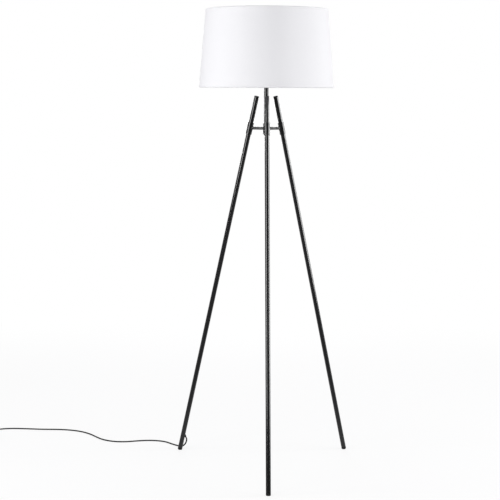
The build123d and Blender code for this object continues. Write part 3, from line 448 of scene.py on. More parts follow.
class Finishes:
    """All materials of the lamp, made once each: one for each of the record's slots, and two special ones."""

    SPECS: dict[str, Finish | ShadeCloth] = {
        "satin_black": PowderCoat(),
        "black_plastic": MouldedPlastic(),
        "button_plastic": MouldedPlastic((0.022, 0.022, 0.023), roughness=0.38),
        "foot_rubber": MouldedPlastic((0.011, 0.011, 0.011), roughness=0.62, pore=0.0009, depth=0.00006),
        "zinc_steel": PlatedMetal(),
        "contact_brass": PlatedMetal((0.72, 0.53, 0.24), tinted=(0.48, 0.34, 0.16), roughness=0.3),
        "insert_white": MouldedPlastic((0.78, 0.77, 0.73), roughness=0.16, pore=0.004, depth=0.00004),
        "shade_fabric": ShadeCloth(),
        "laminated_cover": ShadeCloth(film=True),
        "sleeved_pin": SleevedPin(edge=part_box("plug_pins")[0][1] + PIN_BARE),
        "white_wire": MouldedPlastic((0.76, 0.76, 0.75), roughness=0.35, pore=0.0012, depth=0.00003),
        "bulb_metal": PlatedMetal((0.78, 0.78, 0.78), tinted=(0.58, 0.58, 0.57), roughness=0.24),
        "bulb_black": MouldedPlastic((0.012, 0.012, 0.013), roughness=0.15, pore=0.003, depth=0.00002),
        "bulb_white": MouldedPlastic((0.8, 0.8, 0.78), roughness=0.32, pore=0.0006, depth=0.00002),
        "bulb_opal": Opal(),
        "cord_black": Jacket(),
    }

    def __init__(self) -> None:
        """Build every material."""
        self.made = {slot: spec.material(slot) for slot, spec in self.SPECS.items()}

    def dress(self, piece: Piece, slot: str, special: str = "") -> None:
        """Give a piece one finish.

        Args:
            piece: the piece.
            slot: the record's slot that it belongs to.
            special: a finish of its own, where the slot's plain one isn't enough.
        """
        piece.data.materials.clear()
        piece.data.materials.append(self.made[special or slot])

    def dress_nodes(self) -> None:
        """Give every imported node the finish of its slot."""
        for entry in frame["record"]["subparts"]:
            self.dress(frame["nodes"][entry["node"]], entry["material_slot"])


def pick(*pieces: Piece) -> None:
    """Leave edit mode and select these pieces alone, the first one active.

    Args:
        pieces: the pieces that the next operator acts on; none before one that makes a new piece.
    """
    if bpy.context.mode != "OBJECT":
        bpy.ops.object.mode_set(mode="OBJECT")
    bpy.ops.object.select_all(action="DESELECT")
    for piece in pieces:
        piece.select_set(True)
    if pieces:
        bpy.context.view_layer.objects.active = pieces[0]


def select_edges(piece: Piece, wanted: Callable[[list[bpy.types.MeshVertex]], bool]) -> None:
    """Select some edges of a piece that is in edit mode.

    Args:
        piece: the piece.
        wanted: whether an edge between these two points is selected.
    """
    bpy.ops.mesh.select_mode(type="EDGE")
    bpy.ops.mesh.select_all(action="DESELECT")
    bpy.ops.object.mode_set(mode="OBJECT")
    for edge in piece.data.edges:
        edge.select = wanted([piece.data.vertices[end] for end in edge.vertices])
    bpy.ops.object.mode_set(mode="EDIT")


def settle(piece: Piece, body: Body, *nodes: str) -> Piece:
    """Finish a piece's place: shading, transforms, body and the nodes that it stands for.

    Args:
        piece: the new piece.
        body: the body that it rides on.
        nodes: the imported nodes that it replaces.

    Returns:
        The same piece.
    """
    pick(piece)
    bpy.ops.object.transform_apply(location=True, rotation=True, scale=True)
    if piece.type == "MESH":
        bpy.ops.object.shade_smooth_by_angle(angle=SMOOTH_ANGLE)
    piece.select_set(False)
    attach(piece, body.value)
    if nodes:
        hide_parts(*nodes)
    return piece


def lathe(name: str, profile: Profile, sides: int, hollow: bool) -> Piece:
    """Turn a profile about the vertical axis, ring by ring.

    Args:
        name: the new object's name.
        profile: radius and height of each ring, in metres.
        sides: points in each ring.
        hollow: whether the last ring is joined back to the first; otherwise both are capped.

    Returns:
        The turned mesh object, at the origin.
    """
    pick()
    radius, height = profile[0]
    bpy.ops.mesh.primitive_circle_add(vertices=sides, radius=radius, location=(0, 0, 0), fill_type="NOTHING")
    piece = bpy.context.object
    piece.name = name
    bpy.ops.object.mode_set(mode="EDIT")
    bpy.ops.mesh.select_all(action="SELECT")
    bpy.ops.transform.translate(value=(0, 0, height))
    for next_radius, next_height in profile[1:]:
        bpy.ops.mesh.extrude_edges_move()
        scale = next_radius / radius
        bpy.ops.transform.resize(value=(scale, scale, 1), center_override=(0, 0, height))
        bpy.ops.transform.translate(value=(0, 0, next_height - height))
        radius, height = next_radius, next_height
    if hollow:
        last = (len(profile) - 1) * sides
        select_edges(piece, lambda ends: all(end.index < sides or end.index >= last for end in ends))
        bpy.ops.mesh.bridge_edge_loops()
    bpy.ops.mesh.select_all(action="SELECT")
    if not hollow:
        bpy.ops.mesh.fill_holes(sides=0)
    bpy.ops.mesh.normals_make_consistent(inside=False)
    bpy.ops.object.mode_set(mode="OBJECT")
    return piece


def twin(piece: Piece, name: str) -> Piece:
    """Copy a piece, with a mesh of its own.

    Args:
        piece: the piece to copy.
        name: the copy's name.

    Returns:
        The copy.
    """
    pick(piece)
    bpy.ops.object.duplicate()
    copy = bpy.context.object
    copy.name = name
    return copy


def unite(first: Piece, *others: Piece) -> Piece:
    """Join pieces that are turned and placed, at the origin.

    Args:
        first: the piece that keeps its name.
        others: the pieces that go into it.

    Returns:
        The first piece.
    """
    pick(first, *others)
    bpy.ops.object.transform_apply(location=True, rotation=True, scale=True)
    bpy.ops.object.join()
    return first


def quarter_round(radius: float, top: float, fillet: float, steps: int) -> Profile:
    """Outline of a turned piece's rounded edge, from its side to its top.

    Args:
        radius: radius of the side.
        top: height of the top.
        fillet: radius of the rounding.
        steps: number of faces round it.

    Returns:
        Radius and height of each ring.
    """
    angles = [QUARTER_TURN * step / steps for step in range(steps + 1)]
    return [
        (radius - fillet * (1 - math.cos(angle)), top - fillet * (1 - math.sin(angle))) for angle in angles
    ]


def roll_thread(piece: Piece, pitch: float, depth: float, span: Span, least: float) -> None:
    """Press a rounded right-hand thread into a piece turned about the lamp's axis.

    Args:
        piece: the turned piece.
        pitch: rise of one turn.
        depth: depth of the thread.
        span: heights that it runs out at, below and above.
        least: radius inside which the piece stays plain.
    """
    low, high = span
    for vertex in piece.data.vertices:
        x, y, z = vertex.co
        radius = math.hypot(x, y)
        if radius < least:
            continue
        full = min(max(min(z - low, high - z) / pitch, 0), 1)
        wave = 0.5 - 0.5 * math.cos(math.tau * z / pitch - math.atan2(y, x))
        scale = 1 - depth * wave * full / radius
        vertex.co = (x * scale, y * scale, z)


def cord_spline(name: str, route: Iterable[Point], diameter: float) -> Piece:
    """Lay a round cord along one smooth open spline.

    Args:
        name: the new curve's name.
        route: its control points, in metres.
        diameter: the cord's diameter.

    Returns:
        The curve object.
    """
    points = list(route)
    curve = bpy.data.curves.new(name, "CURVE")
    curve.dimensions = "3D"
    curve.bevel_depth = 1
    curve.bevel_resolution = CORD_ROUNDNESS
    curve.resolution_u = SPLINE_STEPS
    curve.use_fill_caps = True
    spline = curve.splines.new("NURBS")
    spline.points.add(len(points) - 1)
    for point, place in zip(spline.points, points):
        point.co = (*place, 1)
        point.radius = diameter / 2
    spline.order_u = SPLINE_ORDER
    spline.use_endpoint_u = True
    piece = bpy.data.objects.new(name, curve)
    bpy.context.scene.collection.objects.link(piece)
    return piece


@dataclass(frozen=True)
class RibbedRelief:
    """A ribbed cone that keeps the cord from kinking where it enters a housing."""

    length: float
    root: float
    tip: float
    ribs: int
    groove: float = 0.0006
    edge_width: float = 0.0003
    edge_length: float = 0.0004
    crest_end: float = 0.6
    groove_start: float = 0.72
    groove_end: float = 0.999
    sides: int = 40

    def turn(self, name: str, held: Profile) -> Piece:
        """Turn the relief about the vertical axis, with the root of its cone at the origin.

        Args:
            name: the new object's name.
            held: section of what the housing holds, from the bore to the root.

        Returns:
            The relief.
        """
        step = self.length / self.ribs
        taper = (self.tip - self.root) / self.length
        profile = list(held)
        for rib in range(self.ribs):
            start = rib * step
            crest = self.root + taper * start
            sunk = crest + taper * step - self.groove
            profile += [
                (crest - self.edge_width, start),
                (crest, start + self.edge_length),
                (crest + taper * step * self.crest_end, start + step * self.crest_end),
                (sunk, start + step * self.groove_start),
                (sunk, start + step * self.groove_end),
            ]
        return lathe(name, profile + [(CORD_BORE, self.length)], self.sides, True)


class SubAssembly:
    """A group of new pieces that are made and dressed together."""

    def make(self) -> list[Dressed]:
        """The new pieces, each with its slot and its special finish, if it has one."""
        raise NotImplementedError

    def build(self, finishes: Finishes) -> list[Piece]:
        """Make the pieces and dress them.

        Args:
            finishes: the lamp's materials.

        Returns:
            The new pieces.
        """
        made = self.make()
        for piece, slot, special in made:
            finishes.dress(piece, slot, special)
        return [piece for piece, _, _ in made]


@dataclass
class Shade(SubAssembly):
    """The cloth drum: cover, hems and the glued seam at the back."""

    bottom: float = 1.293
    height: float = 0.257
    bottom_radius: float = 0.225
    top_radius: float = 0.203
    cloth: float = 0.001
    trim_gap: float = 0.0005
    hem: float = 0.0005
    hem_height: float = 0.008
    lip_share: float = 0.4
    tuck: float = 0.0045
    ring_wire: float = 0.005
    sides: int = 256
    cover_steps: int = 8
    roll_steps: int = 6
    seam: Span = (-0.006, 0.009)
    seam_lift: float = 0.0003

    def edge(self, away: int) -> float:
        """Height of the drum's top edge for 1, of its bottom edge for -1."""
        return self.bottom + self.height if away > 0 else self.bottom

    def radius(self, height: float) -> float:
        """Outer radius of the cover at a height."""
        slope = (self.top_radius - self.bottom_radius) / self.height
        return self.bottom_radius - self.hem + slope * (height - self.bottom)

    def trim(self, away: int) -> float:
        """Height that the cover is trimmed to, inside the hem's roll: the top for 1, the bottom for -1."""
        return self.edge(away) - away * (self.hem + self.ring_wire / 2 + self.trim_gap)

    def flat_cut(self) -> tuple[Span, float]:
        """Size of the cover before it was rolled: an arched strip, cut from a cone.

        Returns:
            Width and length of the rectangle that it is cut from, and the strip's own area.
        """
        low = self.radius(self.trim(-1))
        high = self.radius(self.trim(1))
        slant = math.hypot(self.trim(1) - self.trim(-1), low - high)
        outer = slant * low / (low - high)
        half = math.pi * low / outer
        width = 2 * outer * math.sin(half)
        length = outer - (outer - slant) * math.cos(half)
        return (round(width, 3), round(length, 3)), round(math.pi * (low + high) * slant, 4)

    def build_cover(self) -> Piece:
        """Turn the cover and lift the overlap where its two ends are glued, at the back.

        Returns:
            The cover.
        """
        low, high = self.trim(-1), self.trim(1)
        rise = [low + (high - low) * step / self.cover_steps for step in range(self.cover_steps + 1)]
        outside = [(self.radius(z), z) for z in rise]
        inside = [(self.radius(z) - self.cloth, z) for z in reversed(rise)]
        cover = lathe("shade_cloth_cover", outside + inside, self.sides, True)
        for vertex in cover.data.vertices:
            flat = Vector((vertex.co.x, vertex.co.y, 0))
            on_outside = flat.length > self.radius(vertex.co.z) - self.cloth / 2
            if on_outside and vertex.co.y > 0 and self.seam[0] < vertex.co.x < self.seam[1]:
                vertex.co += flat.normalized() * self.seam_lift
        return settle(cover, Body.SHADE, "shade_cover")

    def roll(self, away: int, wall: float) -> Profile:
        """Half of the hem's section that goes round the wire, from the cover's outside to its inside.

        Args:
            away: 1 at the top edge, -1 at the bottom one.
            wall: how far inside the hem's outer face it lies.

        Returns:
            Radius and height of each ring.
        """
        round_wire = self.ring_wire / 2 + HAIR
        middle = self.edge(away) - away * (self.hem + round_wire)
        wire = self.radius(middle) - self.cloth - round_wire
        outward = self.radius(middle) + self.hem - wall - wire
        inward = round_wire + self.hem - wall
        profile = []
        for step in range(2 * self.roll_steps + 1):
            angle = QUARTER_TURN * step / self.roll_steps
            reach = outward if angle < QUARTER_TURN else inward
            profile.append((wire + reach * math.cos(angle), middle + away * inward * math.sin(angle)))
        return profile

    def hem_profile(self, away: int) -> Profile:
        """Section of a hem folded over the cover's edge and the wire behind it.

        Args:
            away: 1 at the top edge, -1 at the bottom one.

        Returns:
            Radius and height of each ring, all the way round the section.
        """
        lip = self.edge(away) - away * self.hem_height
        fold = lip + away * self.hem
        tuck = self.edge(away) - away * (self.ring_wire + self.tuck)
        outside = [(self.radius(lip) + self.hem * self.lip_share, lip), (self.radius(fold) + self.hem, fold)]
        tucked = [(self.radius(tuck) - self.cloth - self.hem, tuck), (self.radius(tuck) - self.cloth, tuck)]
        inside = list(reversed(self.roll(away, self.hem)))
        return outside + self.roll(away, 0) + tucked + inside + [(self.radius(lip), lip)]

    def make(self) -> list[Dressed]:
        """Returns:
            The three pieces.
        """
        cover = self.build_cover()
        hems = [
            settle(lathe(name, self.hem_profile(away), self.sides, True), Body.SHADE, node)
            for name, node, away in (("shade_hem_bottom", "lower_hem", -1), ("shade_hem_top", "upper_hem", 1))
        ]
        flat, area = self.flat_cut()
        return [(cover, "shade_fabric", "laminated_cover")] + [(hem, "shade_fabric", "") for hem in hems]


class Seat(Enum):
    """What an arm's end is welded to."""

    HUB = "hub"
    SLEEVE = "sleeve"


@dataclass
class Welds(SubAssembly):
    """Weld beads round both ends of the three arms."""

    arm_height: float = 1.158
    arm_radius: float = 0.005
    hub_radius: float = 0.011
    sleeve_radius: float = 0.01008
    leg_reach: float = 0.062
    leg_tilt: float = math.radians(13.6)
    bead: float = 0.001
    bead_proud: float = 0.35
    ripple: float = 0.14
    ripples: int = 28
    steps_round: int = 140
    steps_section: int = 12
    azimuths: tuple[tuple[str, float], ...] = (("front", 270), ("right", 30), ("left", 150))

    def saddle(self, seat: Seat, side: float, rise: float) -> float:
        """How far from the lamp's axis the welded surface lies, beside and above the arm's middle.

        Args:
            seat: what the arm is welded to.
            side: distance sideways from the arm's middle.
            rise: distance upwards from the arm's middle.

        Returns:
            The distance from the lamp's axis.
        """
        if seat is Seat.HUB:
            return math.sqrt(self.hub_radius**2 - side**2)
        middle = self.leg_reach - rise * math.tan(self.leg_tilt)
        return middle - math.sqrt(self.sleeve_radius**2 - side**2) / math.cos(self.leg_tilt)

    def build_bead(self, seat: Seat) -> Piece:
        """Model one rippled bead round an arm along x, laid on the welded surface.

        Args:
            seat: what the arm is welded to.

        Returns:
            The bead, at the height of the origin.
        """
        pick()
        ring = self.arm_radius + self.bead * self.bead_proud
        bpy.ops.mesh.primitive_torus_add(
            location=(0, 0, 0), rotation=(0, QUARTER_TURN, 0), major_segments=self.steps_round,
            minor_segments=self.steps_section, major_radius=ring, minor_radius=self.bead,
        )
        bead = bpy.context.object
        bpy.ops.object.transform_apply(location=False, rotation=True, scale=False)
        for vertex in bead.data.vertices:
            around = math.atan2(vertex.co.y, vertex.co.z)
            middle = Vector((0, math.sin(around), math.cos(around))) * ring
            swell = 1 + self.ripple * math.sin(self.ripples * around)
            place = middle + (vertex.co - middle) * swell
            vertex.co = place + Vector((self.saddle(seat, place.y, place.z), 0, 0))
        return bead

    def make(self) -> list[Dressed]:
        """Model one bead of each kind and copy it to the three arms.

        Returns:
            The six beads.
        """
        made = []
        for seat in Seat:
            model = self.build_bead(seat)
            for side, azimuth in self.azimuths:
                bead = twin(model, f"weld_{seat.value}_{side}")
                bead.rotation_euler.z = math.radians(azimuth)
                bead.location.z = self.arm_height
                made.append((settle(bead, Body.STAND), "satin_black", ""))
            bpy.data.objects.remove(model)
        return made


@dataclass
class Socket(SubAssembly):
    """The screwed pieces of the lampholder and the bulb: threads on the barrel and on the bulb's cap."""

    cap_pitch: float = 0.00363
    cap_depth: float = 0.0009
    cap_chamfer: float = 0.00135
    cap_plain: float = 0.001
    cap_bore: float = 0.010
    barrel_pitch: float = 0.0025
    barrel_crest: float = 0.01975
    barrel_depth: float = 0.00034
    barrel_core: float = 0.0192
    clamp_clear: float = 0.0004
    sides: int = 96
    rings: int = 10

    def rise(self, low: float, high: float, pitch: float) -> list[float]:
        """Heights of the rings of a thread, several to a turn."""
        count = round((high - low) / pitch * self.rings)
        return [low + (high - low) * step / count for step in range(count + 1)]

    def build_cap(self) -> Piece:
        """Turn the bulb's metal cap and roll its thread.

        Returns:
            The cap.
        """
        (_, _, low), (radius, _, high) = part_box("bulb_cap")
        start = low + self.cap_chamfer
        wall = [(radius, z) for z in self.rise(start, high, self.cap_pitch)]
        foot = [(self.cap_bore, low), (radius - self.cap_chamfer, low)]
        cap = lathe("bulb_thread_cap", foot + wall + [(self.cap_bore, high)], self.sides, True)
        span = (start, high - self.cap_plain)
        roll_thread(cap, self.cap_pitch, self.cap_depth, span, self.cap_bore + HAIR)
        return settle(cap, Body.BULB, "bulb_cap")

    def build_barrel(self) -> Piece:
        """Turn the threaded skin of the barrel above the clamp ring, with a thread that doesn't run out.

        Returns:
            The skin.
        """
        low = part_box("clamp_ring")[1][2] + self.clamp_clear
        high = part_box("holder_barrel")[1][2] - self.clamp_clear
        wall = [(self.barrel_crest, z) for z in self.rise(low, high, self.barrel_pitch)]
        profile = [(self.barrel_core, low)] + wall + [(self.barrel_core, high)]
        skin = lathe("barrel_thread", profile, self.sides, True)
        span = (low - self.barrel_pitch, high + self.barrel_pitch)
        roll_thread(skin, self.barrel_pitch, self.barrel_depth, span, self.barrel_core + HAIR)
        return settle(skin, Body.STAND)

    def make(self) -> list[Dressed]:
        """The two threaded pieces."""
        return [(self.build_cap(), "bulb_metal", ""), (self.build_barrel(), "black_plastic", "")]


@dataclass
class FootSwitch(SubAssembly):
    """The foot switch's ringed button, the spring under it, and the ribbed cord reliefs at both ends."""

    y: float = 0.285
    half_length: float = 0.042
    wall: float = 0.002
    relief: RibbedRelief = RibbedRelief(length=0.020, root=0.0052, tip=0.0034, ribs=6)
    relief_flange: float = 0.0015
    neck_radius: float = 0.004
    button_radius: float = 0.015
    button_sides: int = 64
    flange_radius: float = 0.017
    flange_height: float = 0.002
    seat_radius: float = 0.008
    seat_depth: float = 0.003
    edge_round: float = 0.0025
    edge_steps: int = 6
    rings: int = 4
    ring_inset: float = 0.0008
    ring_pitch: float = 0.0024
    ring_width: float = 0.0014
    ring_slope: float = 0.0003
    ring_depth: float = 0.0006
    spring_radius: float = 0.0059
    spring_wire: float = 0.0012
    spring_turns: int = 4
    spring_steps: int = 16
    travel: float = 0.003

    def build_reliefs(self) -> Piece:
        """Turn one relief with its neck and flange, copy it to the other end and join the two.

        Returns:
            Both reliefs as one piece.
        """
        flange = -self.wall - self.relief_flange
        first = self.relief.turn("switch_reliefs", [
            (CORD_BORE, flange), (self.relief.root, flange), (self.relief.root, -self.wall),
            (self.neck_radius, -self.wall), (self.neck_radius, 0),
        ])
        second = twin(first, "second_relief")
        for relief, side in ((first, 1), (second, -1)):
            relief.rotation_euler.x = -side * QUARTER_TURN
            relief.location = (SWITCH_X, self.y + side * self.half_length, CORD_HEIGHT)
        return settle(unite(first, second), Body.STAND, "cord_reliefs")

    def build_button(self) -> Piece:
        """Turn the button with the rings that give a shoe its grip.

        Returns:
            The button.
        """
        (_, _, low), (_, _, top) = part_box("switch_button")
        shoulder = low + self.flange_height
        profile = [
            (self.seat_radius, low + self.seat_depth), (self.seat_radius, low), (self.flange_radius, low),
            (self.flange_radius, shoulder), (self.button_radius, shoulder),
        ]
        profile += quarter_round(self.button_radius, top, self.edge_round, self.edge_steps)
        sunk = top - self.ring_depth
        for ring in range(self.rings):
            crest = self.button_radius - self.edge_round - self.ring_inset - ring * self.ring_pitch
            end = crest - self.ring_width
            groove = [(crest - self.ring_slope, sunk), (end + self.ring_slope, sunk)]
            profile += [(crest, top), *groove, (end, top)]
        button = lathe("switch_button_ringed", profile, self.button_sides, False)
        button.location = (SWITCH_X, self.y, 0)
        return settle(button, Body.BUTTON, "switch_button")

    def build_spring(self) -> Piece:
        """Wind the button's spring, at its height with the button up.

        Returns:
            The spring.
        """
        (_, _, low), (_, _, high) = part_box("switch_spring")
        start = low + self.spring_wire / 2
        rise = high - low - self.spring_wire
        count = self.spring_turns * self.spring_steps
        wide = self.spring_radius / math.cos(math.pi / self.spring_steps)
        angles = [math.tau * step / self.spring_steps for step in range(count + 1)]
        spring = cord_spline("switch_coil_spring", [(
            SWITCH_X + wide * math.cos(angle), self.y + wide * math.sin(angle), start + rise * step / count,
        ) for step, angle in enumerate(angles)], self.spring_wire)
        pick(spring)
        bpy.ops.object.convert(target="MESH")
        settle(spring, Body.STAND, "switch_spring")
        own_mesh(spring)
        return spring

    def make(self) -> list[Dressed]:
        """Make the reliefs, the button and its spring.

        Returns:
            The three pieces.
        """
        return [
            (self.build_reliefs(), "black_plastic", ""),
            (self.build_button(), "button_plastic", ""),
            (self.build_spring(), "zinc_steel", ""),
        ]


@dataclass
class Plug(SubAssembly):
    """The mains plug: a body with a grooved grip and a ribbed relief, and two pins with an insulated half."""

    length: float = 0.034
    throat_width: float = 0.013
    throat_height: float = 0.011
    spread: float = 1.5
    steps: int = 17
    corner: float = 0.0042
    corner_steps: int = 6
    rim: float = 0.0012
    rim_steps: int = 3
    grooved: tuple[int, ...] = (3, 5, 7, 9, 11)
    groove_wall: float = 0.0004
    groove_depth: float = 0.0006
    broad: float = 0.9
    relief: RibbedRelief = RibbedRelief(length=0.028, root=0.0052, tip=0.0035, ribs=8)
    pin_radius: float = 0.002
    pin_sides: int = 32
    sleeve_radius: float = 0.0019
    tip_round: float = 0.0012
    tip_steps: int = 5

    def section(self, share: float) -> Span:
        """Section of the body between its throat and its face.

        Args:
            share: share of the length from the throat.

        Returns:
            Width and height.
        """
        (left, _, low), (right, _, high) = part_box("plug_body")
        wide = self.throat_width + (right - left - self.throat_width) * (1 - (1 - share) ** self.spread)
        swell = math.sin(min(2 * share, 1) * QUARTER_TURN)
        return wide, self.throat_height + (high - low - self.throat_height) * swell

    def draw_out(self, name: str) -> Piece:
        """Draw the body out from its throat to its face, then round its corners and rims.

        Args:
            name: the new object's name.

        Returns:
            The body, standing on its throat at the origin, in edit mode.
        """
        pick()
        bpy.ops.mesh.primitive_plane_add(size=1, location=(0, 0, 0))
        body = bpy.context.object
        body.name = name
        bpy.ops.object.mode_set(mode="EDIT")
        bpy.ops.mesh.select_all(action="SELECT")
        width, height = self.section(0)
        bpy.ops.transform.resize(value=(width, height, 1), center_override=(0, 0, 0))
        step = self.length / self.steps
        for station in range(1, self.steps + 1):
            wide, tall = self.section(station / self.steps)
            stretch = (wide / width, tall / height, 1)
            bpy.ops.mesh.extrude_region_move(TRANSFORM_OT_translate={"value": (0, 0, step)})
            bpy.ops.transform.resize(value=stretch, center_override=(0, 0, station * step))
            width, height = wide, tall
        bpy.ops.mesh.select_all(action="SELECT")
        bpy.ops.mesh.normals_make_consistent(inside=False)
        face = self.length - HAIR
        self.round_edges(body, self.corner, self.corner_steps, lambda low, high: high - low > step / 2)
        self.round_edges(body, self.rim, self.rim_steps, lambda low, high: high < HAIR or low > face)
        return body

    def round_edges(
        self, body: Piece, offset: float, segments: int, wanted: Callable[[float, float], bool],
    ) -> None:
        """Bevel the edges of the body that are picked by the heights of their ends, the lower first."""
        select_edges(body, lambda ends: wanted(*sorted(end.co.z for end in ends)))
        bpy.ops.mesh.bevel(offset=offset, segments=segments, affect="EDGES", clamp_overlap=True)

    def groove_grip(self, body: Piece) -> None:
        """Sink the grooves of the grip into the body's two broad sides.

        Args:
            body: the body, in edit mode before and in object mode after.
        """
        bpy.ops.mesh.select_mode(type="FACE")
        bpy.ops.mesh.select_all(action="DESELECT")
        bpy.ops.object.mode_set(mode="OBJECT")
        for face in body.data.polygons:
            across = [body.data.vertices[corner].co.x for corner in face.vertices]
            strip = int(face.center.z / self.length * self.steps)
            on_side = abs(face.normal.y) > self.broad and max(across) - min(across) > self.corner
            face.select = on_side and strip in self.grooved
        bpy.ops.object.mode_set(mode="EDIT")
        bpy.ops.mesh.inset(thickness=self.groove_wall, depth=-self.groove_depth, use_individual=True)
        bpy.ops.mesh.select_mode(type="EDGE")
        bpy.ops.object.mode_set(mode="OBJECT")

    def build_body(self) -> Piece:
        """Make the body with its grip, and join the relief to its throat.

        Returns:
            The plug's body.
        """
        (left, face, low), (right, _, high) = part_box("plug_body")
        body = self.draw_out("plug_body_gripped")
        self.groove_grip(body)
        start = -self.rim / 2
        relief = self.relief.turn("plug_relief", [(CORD_BORE, start), (self.relief.root, start)])
        for piece, turn in ((body, 1), (relief, -1)):
            piece.rotation_euler.x = turn * QUARTER_TURN
            piece.location = ((left + right) / 2, face + self.length, (low + high) / 2)
        return settle(unite(body, relief), Body.STAND, "plug_body")

    def build_pins(self) -> Piece:
        """Turn one pin, copy it and join the pair.

        Returns:
            The pair of pins.
        """
        low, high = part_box("plug_pins")
        length = high[1] - low[1]
        bare = length - PIN_BARE
        profile = [(self.sleeve_radius, 0), (self.sleeve_radius, bare), (self.pin_radius, bare + HAIR)]
        profile += quarter_round(self.pin_radius, length, self.tip_round, self.tip_steps)
        first = lathe("plug_pin_pair", profile, self.pin_sides, False)
        second = twin(first, "second_pin")
        middle = (low[2] + high[2]) / 2
        for pin, x in ((first, low[0] + self.pin_radius), (second, high[0] - self.pin_radius)):
            pin.rotation_euler.x = QUARTER_TURN
            pin.location = (x, high[1], middle)
        return settle(unite(first, second), Body.STAND, "plug_pins")

    def make(self) -> list[Dressed]:
        """The body and the pair of pins."""
        return [(self.build_body(), "black_plastic", ""), (self.build_pins(), "zinc_steel", "sleeved_pin")]


@dataclass
class SupplyCord(SubAssembly):
    """The cord over the floor to the foot switch, and on through its coil to the plug."""

    diameter: float = 0.005
    run_length: float = 0.97
    onward_length: float = 1.056
    onward_exit: float = 0.223
    floor: float = 0.0026
    coil_radius: float = 0.034
    coil_pitch: float = 0.0057
    coil_layer: float = 0.0057
    coil_turns: int = 5
    coil_y: float = 0.128
    coil_z: float = 0.0039
    plug_z: float = 0.0069
    steps: int = 16

    def run(self) -> list[Point]:
        """Route from the leg down to the floor, over it and up into the switch.

        Returns:
            Its control points.
        """
        down = [
            (-0.27549, 0.16796, 0.04814), (-0.27231, 0.1698, 0.04218), (-0.2716, 0.1723, 0.0355),
            (-0.2729, 0.1765, 0.0275), (-0.2765, 0.1835, 0.0175), (-0.2825, 0.1915, 0.0088),
            (-0.291, 0.1995, 0.0034),
        ]
        over = [
            (-0.302, 0.207), (-0.318, 0.2215), (-0.334, 0.24), (-0.351, 0.2595), (-0.376, 0.272),
            (-0.41, 0.2785), (-0.452, 0.273), (-0.496, 0.26), (-0.54, 0.263), (-0.583, 0.288),
            (-0.611, 0.326), (-0.637, 0.365), (-0.673, 0.399), (-0.718, 0.42), (-0.768, 0.429),
            (-0.822, 0.43), (-0.89, 0.44), (-0.94, 0.445), (-0.985, 0.437),
        ]
        into = [(-1.012, 0.411, 0.005), (SWITCH_X, 0.365, CORD_HEIGHT), (SWITCH_X, 0.319, CORD_HEIGHT)]
        return down + [(x, y, self.floor) for x, y in over] + into

    def coil(self) -> list[Point]:
        """Wind the coil: in along the floor, up half way, and out again on top.

        Returns:
            The coil's control points.
        """
        centre_x = SWITCH_X - self.coil_radius
        count = self.coil_turns * self.steps
        half_turn = self.steps / 2
        wide = 1 / math.cos(math.pi / self.steps)
        points = []
        for step in range(count + 1):
            angle = -math.tau * step / self.steps
            inward = min(step, count - step) / self.steps
            radius = (self.coil_radius - self.coil_pitch * inward) * wide
            climbed = min(max((step - (count - half_turn) / 2) / half_turn, 0), 1)
            points.append((
                centre_x + radius * math.cos(angle),
                self.coil_y + radius * math.sin(angle),
                self.coil_z + self.coil_layer * climbed,
            ))
        return points

    def onward(self) -> list[Point]:
        """Route from the switch through the coil to the plug.

        Returns:
            Its control points.
        """
        top = self.coil_z + self.coil_layer
        inward = ((0.251, CORD_HEIGHT), (0.204, CORD_HEIGHT), (0.157, self.coil_z), (0.133, self.coil_z))
        outward = ((0.123, top), (0.1, top), (0.07, self.plug_z), (0.04, self.plug_z))
        before, after = ([(SWITCH_X, y, z) for y, z in way] for way in (inward, outward))
        return before + self.coil() + after

    def make(self) -> list[Dressed]:
        """Lay both cords.

        Returns:
            The two cords.
        """
        to_switch = cord_spline("cord_to_switch", self.run(), self.diameter)
        to_plug = cord_spline("cord_to_plug", self.onward(), self.diameter)
        settle(to_switch, Body.STAND, "cord_run")
        settle(to_plug, Body.STAND, "cord_link", "cord_coil", "cord_tail")
        return [(to_switch, "cord_black", ""), (to_plug, "cord_black", "")]


@dataclass(frozen=True)
class SoftBox:
    """A soft studio lamp, aimed at a height on the floor lamp's axis."""

    name: str
    place: Point
    aim: float
    width: float
    height: float
    watts: float
    gloss: bool = True

    def hang(self) -> None:
        """Hang the lamp, out of the camera's sight, and out of the gloss too if it only fills."""
        data = bpy.data.lights.new(self.name, "AREA")
        data.shape = "RECTANGLE"
        data.size, data.size_y, data.energy = self.width, self.height, self.watts
        lamp = bpy.data.objects.new(self.name, data)
        lamp.location = self.place
        sight = Vector((0, 0, self.aim)) - Vector(self.place)
        lamp.rotation_euler = sight.to_track_quat("-Z", "Y").to_euler()
        lamp.visible_camera = False
        lamp.visible_glossy = self.gloss
        bpy.context.scene.collection.objects.link(lamp)


